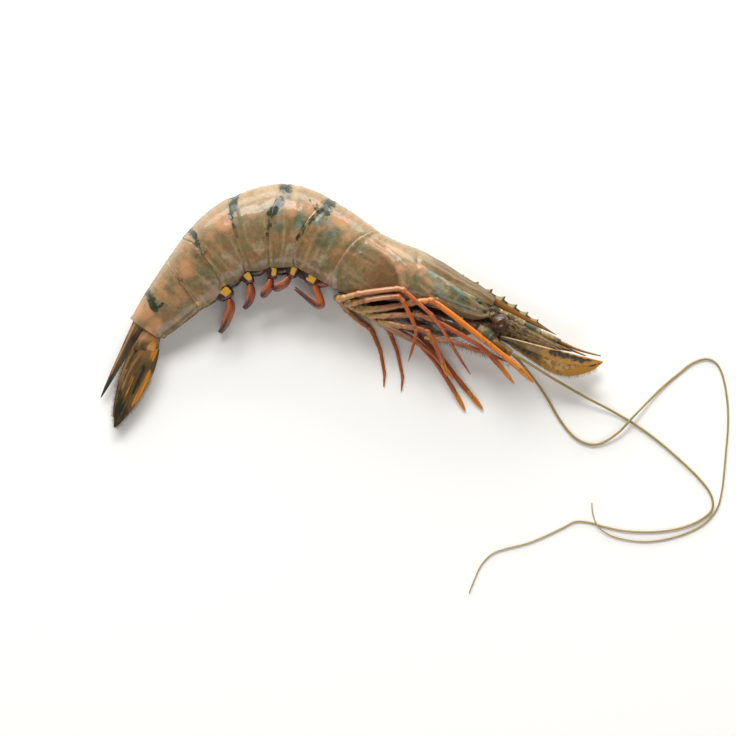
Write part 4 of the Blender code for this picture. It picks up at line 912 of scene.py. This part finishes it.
# Leg shell: hard, wet and half clear. Colour deepens towards the foot, and each joint carries a painted pale
# highlight.
leg_shell = wet_finish(
    "walking_leg_shell", "#b79a5a",
    {"cloud": ("Noise", 2.5, {"Detail": 3.0}), "streak": ("Noise", (7.0, 0.5), {"Detail": 3.0})},
    {"reach_out": ("cloud", 0.16, "along")},
    (("reach_out", 0.1, 0.3, 0.92, "#a5704a"), ("reach_out", 0.42, 0.58, 0.92, "#a84c1a"),
     ("reach_out", 0.78, 0.95, 0.6, "#8c4214"), ("amber", 0.0, 1.0, 0.92, "#cc7010"),
     ("streak", 0.52, 0.75, 0.5, "#c68a4c"),
     # The joint layer is a painted pale highlight on each swollen joint.
     ("cloud", 0.52, 0.7, 0.45, "#5d2413"), ("joint", 0.3, 1.0, 0.4, "#b8763c"),
     ("reach_out", 1.02, 1.1, 0.8, "#c08324")),
    ("streak", 0.3, 0.2),
    {**gloss(0.36, 0.3, 0.5, 0.1), "Subsurface Weight": 0.15, "Subsurface Radius": (1.0, 0.4, 0.2),
     "Subsurface Scale": 0.001})

for node, joints in LEGS.items():
    points, girth = head_route(joints)
    amber = ((0.0, 0.3, 0.45, 1.0), (0.0, 0.0, 1.0, 1.0)) if node == "leg_3_right" else 0.12
    pinches = node[4] in "123"
    count = len(joints) - 1 if pinches else len(joints)
    limb(node.replace("leg", "walking_leg"), points[:count], girth[:count], leg_shell, {"amber": amber}, "leg", node,
         swell=0.12, flat=0.88)
    if pinches:
        # The pincer: two slender fingers that leave the palm side by side and meet at the points.
        palm, tip = points[-2], points[-1]
        forward = unit(tip - palm)
        aside = unit(np.cross(forward, (0.0, 0.0, 1.0)))
        wide = girth[-2] * MM
        for finger, hand in ((1.0, "a"), (-1.0, "b")):
            stops = np.linspace(0, 1, 9)
            offset = finger * wide * (0.42 * (1 - stops ** 2) + 0.16 * np.sin(np.pi * stops))
            line = palm + np.outer(stops, tip - palm) + np.outer(offset, aside)
            radii = girth[-2] * (0.5 * (1 - stops) ** 0.45 + 0.12)
            limb(f"{node.replace('leg', 'pincer')}_{hand}", line, radii, leg_shell, {"amber": 0.9, "along": 0.98},
                 "leg", node, flat=0.88)


# ---- The mouth legs
# The last pair of mouth limbs: two slim jointed feelers under the breast, red-brown and bristly,
# folded forward below the antennae. The bristles are added with the fringes further down.
MOUTH_LEG = ((34.6, -10.4, 2.4, 1.1), (37, -9.6, 2.5, 1.2), (44, -7.2, 2.5, 1.1), (54, -5.2, 2.5, 1),
             (64, -3.8, 2.5, 0.5))
MOUTH_LINES = {}
for side, hand in SIDES:
    points, girth = head_route(MOUTH_LEG, side)
    MOUTH_LINES[hand] = points
    limb(f"mouth_leg_{hand}", points, girth, leg_shell, {"amber": 0.1}, "leg", f"maxilliped_{hand}", swell=0.12,
         flat=0.7)

# ---- Eyes and stalks
# Each eye is a dark glassy ball of fine facets, set in a paler cup on a short swivelling stalk of
# thin green-grey shell.
EYE_CENTRE, EYE_RADIUS = (54.6, 6.3, 5.9), 3.0
EYE_STALK = ((51.0, 7.2, 2.9, 1.4), (51.9, 6.95, 3.9, 1.7))
# Eye facets: dark brown and glassy, broken by a fine net of cells. The cells are drawn several times as
# wide as real ones, so that they show.
eye_facets = wet_finish(
    "compound_eye", "#38200f",
    {"cell": ("Voronoi", 0.22, {}), "cloud": ("Noise", 1.6, {"Detail": 3.0})}, {"ragged_cup": ("cloud", 0.5, "cup")},
    (("cloud", 0.45, 0.7, 0.8, "#6a4126"), ("ragged_cup", 0.75, 1.1, 0.9, "#6e5b48")),
    ("cell", 0.25, 0.08), gloss(0.32, 0.3, 0.6, 0.08))

# Head armour: green-grey shell clouded with teal, brown and pearl, paler on its ridges.
head_armour = wet_finish(
    "mottled_head_armour", "#5b4828",
    {"broad": ("Noise", 3.6, {"Detail": 4.0}), "fine": ("Noise", 1.2, {"Detail": 3.0})},
    {"broken_" + key: ("fine", 1.9, key) for key in ("pearl", "teal", "amber", "dark")},
    (("broad", 0.45, 0.62, 0.8, "#86683a"), ("broad", 0.58, 0.72, 0.6, "#47543f"),
     ("fine", 0.55, 0.7, 0.55, "#a48a58"),
     ("broken_amber", 1.1, 1.9, 0.95, "#b57d20"), ("broken_teal", 1.2, 1.7, 0.85, "#3c5148"),
     ("broken_dark", 1.2, 1.7, 0.95, "#17130e"), ("broken_pearl", 1.25, 1.85, 0.7, "#b59f72")),
    ("fine", 0.5, 0.3), gloss(0.4, 0.18, 0.22, 0.14))

turn = turns(48)
polar = np.linspace(0.06, np.pi - 0.06, 26)[:, None]
for side, hand in SIDES:
    stalk_points, stalk_girth = head_route(EYE_STALK, side)
    middle = head_place(*EYE_CENTRE[:2], EYE_CENTRE[2] * side).reshape(3)
    axis = unit(middle - stalk_points[0])
    one = unit(np.cross(axis, (0.0, 0.0, 1.0)))
    two = np.cross(axis, one)
    round_part = np.cos(turn)[:, None] * one + np.sin(turn)[:, None] * two
    grid = middle - EYE_RADIUS * MM * (np.cos(polar)[..., None] * axis - np.sin(polar)[..., None] * round_part)
    skin(f"eye_ball_{hand}", grid, {"cup": 1.0 - ease(0.55, 1.1, polar)}, eye_facets, "eye", f"eye_{hand}")
    stops = np.linspace(0, 1, 12)
    line = stalk_points[0] + np.outer(stops, stalk_points[1] - stalk_points[0])
    radii = np.interp(stops, (0, 1), stalk_girth) * (1 - 0.1 * np.sin(np.pi * stops))
    limb(f"eye_stem_{hand}", line, radii, head_armour, {"pearl": 0.3, "teal": 0.3, "amber": 0.0, "dark": 0.0},
         "shell", f"eye_stalk_{hand}", sides=24, pitch=0.1)

# ---- Antenna bases and small antennae
# Stout armoured joints in front of the mouth: each pair carries a long feeler, and above them three
# pearl and teal joints end in two short soft whips.
HORN_BASE = ((48.9, 0.6, 4.2, 2), (51, 0.4, 4.2, 2.7), (54, 0, 4.3, 2.6), (57, -0.7, 4.5, 1.9),
             (63.2, -0.8, 4.3, 1.1))
SMALL_HORN = ((52.8, 9.5, 2.3, 1.2), (55, 9.4, 2.3, 1.5), (62, 9.9, 2.2, 1.4), (68, 10.3, 2.1, 1.2),
              (75.5, 10.7, 2, 1))
SMALL_WHIPS = (
    ((74.9, 10.8, 2, 0.5), (76.5, 10.8, 2, 0.5), (83, 11.6, 2.4, 0.36), (90, 13.4, 3, 0.2)),
    ((74.9, 10.3, 1.6, 0.45), (76.5, 10.2, 1.6, 0.42), (80.5, 10.3, 1.8, 0.33), (85.5, 10.9, 2.6, 0.18)),
)
for side, hand in SIDES:
    points, girth = head_route(HORN_BASE, side)
    stops = np.linspace(0, 1, 60)
    knots = np.linspace(0, 1, len(points))
    line = np.stack([flow(knots, points[:, k], stops) for k in range(3)], -1)
    # Two overlapping joints: the rim of the first stands over the second. The pearl on that rim is a painted
    # highlight, and the dark just past it is painted shade under the rim.
    radii = flow(knots, girth, stops) * (1 + 0.1 * hump(stops, 0.52, 0.04) - 0.1 * hump(stops, 0.6, 0.035))
    tints = {"pearl": ((0.42, 0.52, 0.58), (0.0, 0.6, 0.0)), "teal": ((0.0, 0.3, 0.6), (0.1, 0.6, 0.1)),
             "amber": ((0.7, 1.0), (0.0, 0.5)), "dark": ((0.57, 0.61, 0.66), (0.0, 0.5, 0.0))}
    limb(f"antenna_socket_{hand}", line, radii, head_armour, tints, "shell", f"antenna_base_{hand}", flat=0.92,
         sides=28, pitch=0.25)
    # Each of the three joints is a short barrel whose flared far rim holds the next.
    points, girth = head_route(SMALL_HORN, side)
    stops = np.linspace(0, 1, 24)
    for joint, (start, end, tints) in enumerate((
        (0, 2, {"pearl": 0.45, "teal": 0.35, "amber": 0.1, "dark": 0.1}),
        (2, 3, {"pearl": ((0.0, 0.6, 1.0), (0.0, 0.1, 0.8)), "teal": 0.75, "amber": 0.0, "dark": 0.2}),
        (3, 4, {"pearl": ((0.0, 0.5, 1.0), (0.8, 0.7, 0.2)), "teal": 0.4, "amber": 0.0, "dark": 0.15}),
    )):
        line = points[start] + np.outer(stops, points[end] - points[start])
        width = np.interp(stops, (0, 1), (girth[max(start, 1)], girth[end]))
        radii = width * (0.82 + 0.2 * stops + 0.1 * np.sin(np.pi * stops)) * (0.5 + 0.5 * ease(0.0, 0.1, stops))
        limb(f"small_antenna_joint_{joint + 1}_{hand}", line, radii, head_armour, tints, "feeler",
             f"antennule_{hand}", flat=0.85, sides=20, pitch=0.25)
    # The soft inner lobe: a lashed brown pad that fills the space down to the antennal scale.
    share = shares(70)
    u = 55.5 + 25.5 * share
    low = flow((55.5, 59.2, 66.0, 72.5, 76.0, 81.0), (2.6, 3.2, 4.6, 6.1, 8.0, 9.7), u)
    high = flow((55.5, 62.0, 72.0, 81.0), (9.6, 9.6, 9.7, 10.2), u)
    pad_turn = turns(40)
    reach = np.sqrt(np.clip(1 - (2 * share - 1) ** 8, 0.005, 1))
    v = (high + low) / 2 + (high - low) / 2 * reach * np.cos(pad_turn)
    w = side * (2.3 + 0.8 * (1 - share) + (1.3 - 0.7 * share) * reach * np.sin(pad_turn))
    grid = head_place(u, v, w)
    grid = grid + 0.0003 * lumps(grid, 1.5, 12)[..., None] * np.array((0.0, 0.0, 1.0))
    pad_marks = {"pearl": 0.25 * ease(0.2, 0.6, share), "teal": 0.15, "amber": 0.0, "dark": 0.48 - 0.3 * share}
    skin(f"small_antenna_lobe_{hand}", grid, pad_marks, head_armour, "feeler", f"antennule_{hand}")
    for count, route in enumerate(SMALL_WHIPS):
        knots = np.linspace(0, 1, len(route))
        stops = np.linspace(0, 1, 60)
        u, v, w, r = (flow(knots, column, stops) for column in np.array(route).T)
        limb(f"small_antenna_whip_{'ab'[count]}_{hand}", head_place(u, v, w * side),
             r * (1 + 0.08 * np.sin(stops * 190)), head_armour,
             {"pearl": 0.15, "teal": 0.1, "amber": 0.65, "dark": 0.35}, "feeler", f"antennule_{hand}",
             sides=10, pitch=0.15)

# ---- Antennal scales
# A broad stiff blade beside each feeler: pale rib along one side, amber web, dark back edge and a
# bright orange point. Bristles line the inner edge.
SCALE_ROOT, SCALE_TIP, SCALE_WIDTH, SCALE_TILT = (57.0, 2.6, 5.4), (91.3, 12.0, 4.6), 8.6, math.radians(65.0)
SCALE_STATIONS = (0.0, 0.12, 0.25, 0.42, 0.58, 0.72, 0.86, 0.95, 1.0)
SCALE_BREADTHS = (0.16, 0.28, 0.52, 0.8, 1.0, 0.96, 0.7, 0.38, 0.08)
SCALE_CLEARANCE = 0.00005
SCALE_EDGES = {}
turn = turns(56)
for side, hand in SIDES:
    root, tip = (head_place(u, v, w * side).reshape(3) for u, v, w in (SCALE_ROOT, SCALE_TIP))
    lateral = np.array((0.0, 0.0, side))
    back = np.cross(lateral, tip - root)
    back *= side / np.linalg.norm(back)
    across_way = lateral * math.cos(SCALE_TILT) + back * math.sin(SCALE_TILT)
    through = unit(np.cross(across_way, tip - root))
    share = shares(100)
    across = np.cos(turn)
    half = SCALE_WIDTH / 2 * flow(SCALE_STATIONS, SCALE_BREADTHS, share) * MM
    ribs = 1 + 1.1 * hump(across, 0.93, 0.09) + 0.6 * hump(across, 0.1, 0.06) + 0.12 * np.sin(across * 30)
    thick = (0.5 - 0.25 * share) * MM * np.abs(np.sin(turn)) ** 0.7 * np.sign(np.sin(turn)) * ribs
    dish = (-0.55 * (1 - across ** 2) + 0.3 * np.sin(share * 7)) * MM * np.sin(np.pi * np.clip(share, 0.0, 1.0)) * 0.6
    middle = root + share[..., None] * (tip - root) - half[..., None] * across_way
    grid = middle + (half * across)[..., None] * across_way + (thick + dish)[..., None] * through
    grid[..., 2] = np.maximum(grid[..., 2], SCALE_CLEARANCE)
    marks = {
        "pearl": strongest(0.95 * hump(across, 0.95, 0.1) * (1 - ease(0.42, 0.58, share)),
                           0.66 * blot(share, across, (0.6, -0.2), (0.28, 0.7)),
                           0.35 * hump(across, -0.9, 0.16) * (share < 0.7)),
        "teal": 0.5 * (1 - ease(0.1, 0.35, share)) * (across > 0.1),
        "amber": np.maximum(0.25 + 0.55 * ease(0.35, 0.55, share) + 0.4 * ease(0.72, 0.88, share),
                            0.7 * hump(across, -0.9, 0.2) * ease(0.3, 0.5, share)),
        "dark": strongest(
            0.55 * (1 - ease(0.35, 0.5, share)) * hump(across, -0.3, 0.5),
            *[strength * brush(share * 6, across, route, width) for strength, route, width in (
                (0.85, ((3.1, 0.7), (3.9, 0.75)), 0.55), (0.85, ((4.3, 0.72), (5.1, 0.6)), 0.5),
                (0.75, ((5.4, 0.0), (5.75, 0.1)), 0.3), (0.5, ((2.8, 0.12), (5.2, 0.1)), 0.07))]),
    }
    skin(f"antenna_scale_{hand}", grid, marks, head_armour, "scale_blade", f"antennal_scale_{hand}",
         ways=(share * 36, half / MM * across))
    SCALE_EDGES[hand] = (middle[:, 0], half[:, 0], across_way, unit(tip - root))

# ---- The long feelers
# Two whips about as long as the whole body, built of hundreds of tiny rings, olive at the root and
# straw at the tip, that come down to the surface and lie on it in wide curves.
WHIPS = {
    "antenna_right": (
        (43.5, -24.4, 13.2), (50, -28.2, 11.4), (57, -32.5, 8.5), (63.5, -36.2, 5.6),
        (69.5, -39.5, 3.2), (78, -43.9, 1.3), (86.5, -49, 0.7), (94, -54.5, 0.6),
        (101.5, -61, 0.6), (107.6, -67, 0.6), (111.6, -72.5, 0.5), (112, -77.5, 0.5),
        (108.2, -81, 0.5), (102.8, -83.4, 0.5), (96, -84.8, 0.5), (89.2, -85.2, 0.5),
        (81.8, -84.8, 0.5), (75, -83.4, 0.4), (69.5, -81.9, 0.4), (65, -81.7, 0.4),
        (61, -83.7, 0.4), (55.2, -86.5, 0.4), (48.5, -89.2, 0.4), (41.7, -90.9, 0.4),
        (36.9, -92.6, 0.4), (33.1, -96.3, 0.4), (30.8, -101, 0.4), (28.8, -106, 0.4),
    ),
    "antenna_left": (
        (43.5, -24.4, 4.6), (47, -28, 3.6), (51, -33, 2.4), (55.3, -39.2, 1.4),
        (59.7, -46.6, 0.8), (64.1, -52.1, 0.7), (68.9, -54.9, 0.7), (74, -54.8, 0.8),
        (79.8, -51.1, 1.8), (84.2, -46.4, 2.2), (89.3, -41.2, 1.4), (95, -35.6, 0.6),
        (100.5, -31, 0.5), (105, -27.5, 0.5), (109.5, -25.9, 0.5), (113, -27, 0.5),
        (115.2, -30.4, 0.5), (116.6, -36, 0.5), (117.4, -42.8, 0.5), (117.4, -50, 0.5),
        (116.8, -57, 0.5), (116.2, -64, 0.5), (115.4, -71, 0.4), (113.8, -77, 0.4),
        (110, -81.8, 0.4), (104.2, -85.2, 0.4), (97.4, -87.4, 0.4), (90, -88.5, 0.4),
        (83.2, -88, 0.4), (77.2, -86.4, 0.5), (73, -83.4, 1.1), (71.2, -79.3, 0.6),
        (70.8, -75.2, 0.35),
    ),
}
WHIP_ROOT, WHIP_TIP, WHIP_RING = 0.5, 0.2, 0.55
# Ringed feeler: straw and olive horn, half glossy, with a dark groove at each ring.
# The map's first axis is mm along the whip, so the rings keep their real pitch on every curve.
feeler_rings = wet_finish(
    "feeler_rings", "#94854f",
    {"ring": ("Wave", (1.0, 1.0), {"Scale": 1 / WHIP_RING / 3.14}),
     "cloud": ("Noise", (9.0, 100.0), {"Detail": 3.0})}, {},
    (("cloud", 0.4, 0.6, 0.7, "#a98a4e"), ("along", 0.3, 1.0, 0.6, "#b09660"), ("cloud", 0.58, 0.75, 0.6, "#6f6238"),
     ("ring", 0.6, 1.0, 0.35, "#5d5230")),
    ("ring", 0.4, 0.06), {"Roughness": 0.38})
for node, stations in WHIPS.items():
    knots = np.array(stations)
    knots = np.concatenate((2 * knots[:1] - knots[1:2], knots, 2 * knots[-1:] - knots[-2:-1]))
    route = []
    for before, start, end, after in zip(knots, knots[1:], knots[2:], knots[3:]):
        step = np.linspace(0, 1, 13)[:-1, None]
        cubic = (3 * start - before - 3 * end + after) * step ** 3
        square = (2 * before - 5 * start + 4 * end - after) * step ** 2
        route.append((2 * start + (end - before) * step + square + cubic) / 2)
    route = np.concatenate((*route, knots[-2:-1]))
    radii = np.linspace(WHIP_ROOT, WHIP_TIP, len(route))
    route[:, 2] = np.maximum(route[:, 2], radii)
    limb(node.replace("antenna", "long_feeler"), route * MM, radii, feeler_rings, {}, "feeler", node, sides=10,
         pitch=0.4)

# ---- Bristle fringes
# Stiff fine hairs stand in close rows on the tail blades, the antennal scales, the mouth legs, the
# small antennae and before the eyes. One generator plants them: its rails carry the way they lean.
fringe_tree = bpy.data.node_groups.new("bristle_fringe", "GeometryNodeTree")
SOCKETS = (("Geometry", "Geometry"), ("Spacing", "Float"), ("Length", "Float"), ("Thickness", "Float"),
           ("Spread", "Float"), ("Seed", "Int"), ("Finish", "Material"))
for name, kind in SOCKETS:
    fringe_tree.interface.new_socket(name, in_out="INPUT", socket_type="NodeSocket" + kind)
fringe_tree.interface.new_socket("Geometry", in_out="OUTPUT", socket_type="NodeSocketGeometry")
inlet = fringe_tree.nodes.new("NodeGroupInput").outputs
rail = add_node(fringe_tree, "GeometryNodeMeshToCurve", {}, {"Mesh": inlet["Geometry"]}).outputs[0]
rail = add_node(fringe_tree, "GeometryNodeResampleCurve", {"mode": "LENGTH"},
                {"Curve": rail, "Length": inlet["Spacing"]}).outputs[0]
hair = add_node(fringe_tree, "GeometryNodeMeshCone", {}, {
    "Vertices": 4, "Radius Top": 0.0, "Radius Bottom": inlet["Thickness"], "Depth": inlet["Length"]}).outputs["Mesh"]
lean = add_node(fringe_tree, "GeometryNodeInputNamedAttribute", {"data_type": "FLOAT_VECTOR"},
                {"Name": "lean"}).outputs[0]
stray = add_node(fringe_tree, "FunctionNodeRandomValue", {"data_type": "FLOAT_VECTOR"},
                 {0: (-1.0, -1.0, -1.0), 1: (1.0, 1.0, 1.0), "Seed": inlet["Seed"]}).outputs[0]
stray = add_node(fringe_tree, "ShaderNodeVectorMath", {"operation": "SCALE"},
                 {0: stray, "Scale": inlet["Spread"]}).outputs[0]
lean = add_node(fringe_tree, "ShaderNodeVectorMath", {"operation": "ADD"}, {0: lean, 1: stray}).outputs[0]
aim = add_node(fringe_tree, "FunctionNodeAlignRotationToVector", {"axis": "Z"}, {"Vector": lean}).outputs[0]
grow = add_node(fringe_tree, "FunctionNodeRandomValue", {"data_type": "FLOAT"},
                {2: 0.55, 3: 1.1, "Seed": inlet["Seed"]}).outputs[1]
planted = add_node(fringe_tree, "GeometryNodeInstanceOnPoints", {},
                   {"Points": rail, "Instance": hair, "Rotation": aim, "Scale": grow}).outputs[0]
solid = add_node(fringe_tree, "GeometryNodeRealizeInstances", {}, {"Geometry": planted}).outputs[0]
finished = add_node(fringe_tree, "GeometryNodeSetMaterial", {},
                    {"Geometry": solid, "Material": inlet["Finish"]}).outputs[0]
add_node(fringe_tree, "NodeGroupOutput", {}, {"Geometry": finished})

# Bristle: clear horny hair, straw to brown in soft clouds.
bristle_horn = bpy.data.materials.new("bristle_horn")
bristle_horn.use_nodes = True
tree = bristle_horn.node_tree
shader = tree.nodes["Principled BSDF"]
place = add_node(tree, "ShaderNodeTexCoord", {}, {}).outputs["Object"]
cloud = add_node(tree, "ShaderNodeTexNoise", {}, {"Vector": place, "Scale": 1 / (3.0 * MM), "Detail": 2.0}).outputs[0]
amount = add_node(tree, "ShaderNodeMapRange", {}, {"Value": cloud, "From Min": 0.35, "From Max": 0.65}).outputs[0]
colour = add_node(tree, "ShaderNodeMix", {"data_type": "RGBA"},
                  {0: amount, 6: linear("#6d5232"), 7: linear("#ab8c5c")}).outputs[2]
tree.links.new(colour, shader.inputs["Base Color"])
shader.inputs["Roughness"].default_value = 0.45


def fringe(name, rails, spacing, length, thickness, spread, seed, slot, node):
    """Plant bristles (mm sizes) on rails, each a pair of places (m) and leaning vectors."""
    points = np.concatenate([r[0] for r in rails])
    leans = np.concatenate([r[1] for r in rails])
    edges, first = [], 0
    for places, _ in rails:
        edges += [(first + i, first + i + 1) for i in range(len(places) - 1)]
        first += len(places)
    mesh = bpy.data.meshes.new(f"{name}_rails")
    mesh.from_pydata(points.tolist(), edges, [])
    layer = mesh.attributes.new("lean", "FLOAT_VECTOR", "POINT")
    layer.data.foreach_set("vector", leans.astype(np.float32).ravel())
    piece = bpy.data.objects.new(name, mesh)
    bpy.context.scene.collection.objects.link(piece)
    grower = piece.modifiers.new("bristles", "NODES")
    grower.node_group = fringe_tree
    values = {"Spacing": spacing * MM, "Length": length * MM, "Thickness": thickness * MM, "Spread": spread,
              "Seed": seed, "Finish": bristle_horn}
    for item in fringe_tree.interface.items_tree:
        if item.item_type == "SOCKET" and item.in_out == "INPUT" and item.name in values:
            grower[item.identifier] = values[item.name]
    bpy.context.view_layer.update()
    grown = piece.evaluated_get(bpy.context.evaluated_depsgraph_get())
    baked = bpy.data.meshes.new_from_object(grown)
    piece.modifiers.remove(grower)
    piece.data = baked
    bpy.data.meshes.remove(mesh)
    baked.name = name
    settle(piece, slot, node)


for side, hand in SIDES:
    share = np.linspace(0.12, 0.96, 40)
    middle, half, across_way, forward = SCALE_EDGES[hand]
    steps = (share * 99).astype(int)
    edge = middle[steps] - half[steps][:, None] * across_way * 0.98
    leans = np.repeat([forward * 0.8 - across_way], len(steps), 0)
    fringe(f"scale_bristles_{hand}", [(edge, leans)], 0.22, 1.7, 0.06, 0.12, 11, "scale_blade",
           f"antennal_scale_{hand}")
    # The soft lashes under the small antennae reach forward past the eye.
    u = np.linspace(56.0, 76.0, 30)
    for row, (drop, droop, seed) in enumerate(((1.1, 0.35, 21), (3.0, 0.1, 22), (4.6, -0.1, 23))):
        low = 9.7 - drop + (u - 56.0) * (0.03 + 0.05 * row)
        places = head_place(u, low, 4.1 * side - 0.05 * side * (u - 56.0))
        ahead = head_place(u + 1.0, low - droop, 4.3 * side - 0.05 * side * (u - 56.0))
        fringe(f"small_antenna_lashes_{row + 1}_{hand}", [(places, (ahead - places) / MM)], 0.3, 4.2 - 0.6 * row,
               0.08, 0.3, seed, "feeler", f"antennule_{hand}")
    # A tuft of curled lashes stands in front of the eye.
    around = np.linspace(-1.3, 1.3, 20)
    places = head_place(EYE_CENTRE[0] + 2.3 * np.cos(around), EYE_CENTRE[1] - 0.4 + 2.4 * np.sin(around),
                        (EYE_CENTRE[2] + 0.6) * side)
    ahead = head_place(EYE_CENTRE[0] + 3.3 * np.cos(around) + 0.2, EYE_CENTRE[1] - 0.8 + 2.8 * np.sin(around),
                       (EYE_CENTRE[2] - 0.1) * side)
    fringe(f"eye_lashes_{hand}", [(places, (ahead - places) / MM)], 0.18, 3.4, 0.09, 0.35, 31, "feeler",
           f"antennule_{hand}")
    points = MOUTH_LINES[hand]
    forward = unit(points[-1] - points[0])
    below = np.cross(forward, (0.0, 0.0, 1.0))
    rails = []
    for way in (below, -below):
        rails.append((points + way * 0.0007, np.repeat([way + forward * 0.8], len(points), 0)))
    fringe(f"mouth_leg_bristles_{hand}", rails, 0.35, 2.0, 0.06, 0.4, 5, "leg", f"maxilliped_{hand}")
    for part, (length, width, v0, w0) in FAN_BLADES.items():
        share = np.linspace(0.3, 0.99, 50)
        rails = []
        for edge_side in (1.0, -1.0):
            half = width / 2 * leaf_breadth(share, 0.62, 0.32)
            a, w = STALK_LENGTH + FAN_GAP + length * share, w0 * side * (1 - 0.35 * share)
            edge = tail_place(FAN_ROOT, FAN_TURN, a, v0 * (1 - 0.5 * share) + half * edge_side, w)
            outside = tail_place(FAN_ROOT, FAN_TURN, a + 0.9, v0 * (1 - 0.5 * share) + (half + 1.0) * edge_side, w)
            rails.append((edge, (outside - edge) / MM))
        fringe(f"fan_bristles_{part}_{hand}", rails, 0.25, 1.3, 0.06, 0.2, 7, "tail_blade", f"uropod_{part}_{hand}")

# ---- Floor, light and camera
# A plain pale floor and soft studio light: a long low soft box behind the back, a broad one overhead.
floor_mesh = bpy.data.meshes.new("floor")
FLOOR_REACH = 2.0
corners = [(x * FLOOR_REACH, y * FLOOR_REACH, 0.0) for x, y in ((-1, -1), (1, -1), (1, 1), (-1, 1))]
floor_mesh.from_pydata(corners, [], [(0, 1, 2, 3)])
floor = bpy.data.objects.new("floor", floor_mesh)
bpy.context.scene.collection.objects.link(floor)
# Matt paper: it takes soft shadows and gives no shine of its own.
paper = bpy.data.materials.new("pale_floor")
paper.use_nodes = True
for key, value in (("Base Color", linear("#f6f5f2")), ("Roughness", 0.9), ("Specular IOR Level", 0.1)):
    paper.node_tree.nodes["Principled BSDF"].inputs[key].default_value = value
floor_mesh.materials.append(paper)
LAMPS = (
    ("soft_box_back", (-0.05, 0.62, 0.17), (1.3, 0.26), 6.0, (-0.02, 0.0, 0.01)),
    ("soft_box_top", (-0.15, 0.78, 0.78), (0.9, 0.4), 12.5, (0.0, 0.0, 0.0)),
    ("soft_box_front", (0.1, -0.75, 0.85), (0.9, 0.5), 4.0, (0.0, -0.03, 0.0)),
)
for name, spot, size, power, target in LAMPS:
    lamp_data = bpy.data.lights.new(name, "AREA")
    lamp_data.shape = "RECTANGLE"
    lamp_data.size, lamp_data.size_y = size
    lamp_data.energy = power
    lamp = bpy.data.objects.new(name, lamp_data)
    lamp.location = spot
    lamp.rotation_euler = (Vector(target) - Vector(spot)).to_track_quat("-Z", "Y").to_euler()
    bpy.context.scene.collection.objects.link(lamp)
# The room is bright all round at table height and dim overhead, so wet level faces keep their depth.
world = bpy.data.worlds.new("studio")
world.use_nodes = True
sky = world.node_tree
way = add_node(sky, "ShaderNodeTexCoord", {}, {}).outputs["Generated"]
height = add_node(sky, "ShaderNodeSeparateXYZ", {}, {"Vector": way}).outputs["Z"]
height = add_node(sky, "ShaderNodeMapRange", {"interpolation_type": "SMOOTHSTEP"},
                  {"Value": height, "From Min": 0.25, "From Max": 0.85}).outputs[0]
tone = add_node(sky, "ShaderNodeMix", {"data_type": "RGBA"},
                {0: height, 6: linear("#f4f1ec"), 7: linear("#6a6864")}).outputs[2]
sky.links.new(tone, sky.nodes["Background"].inputs["Color"])
sky.nodes["Background"].inputs["Strength"].default_value = 0.57
bpy.context.scene.world = world
camera_data = bpy.data.cameras.new("camera")
SENSOR_WIDTH, VIEW_DISTANCE, VIEW_WIDTH = 36.0, 1.2, 0.25024
camera_data.sensor_width = SENSOR_WIDTH
camera_data.lens = SENSOR_WIDTH * VIEW_DISTANCE / VIEW_WIDTH
camera = bpy.data.objects.new("camera", camera_data)
camera.location = (-0.0059, -0.0290, 1.21)
bpy.context.scene.collection.objects.link(camera)
bpy.context.scene.camera = camera
bpy.context.scene.view_settings.view_transform = "Standard"
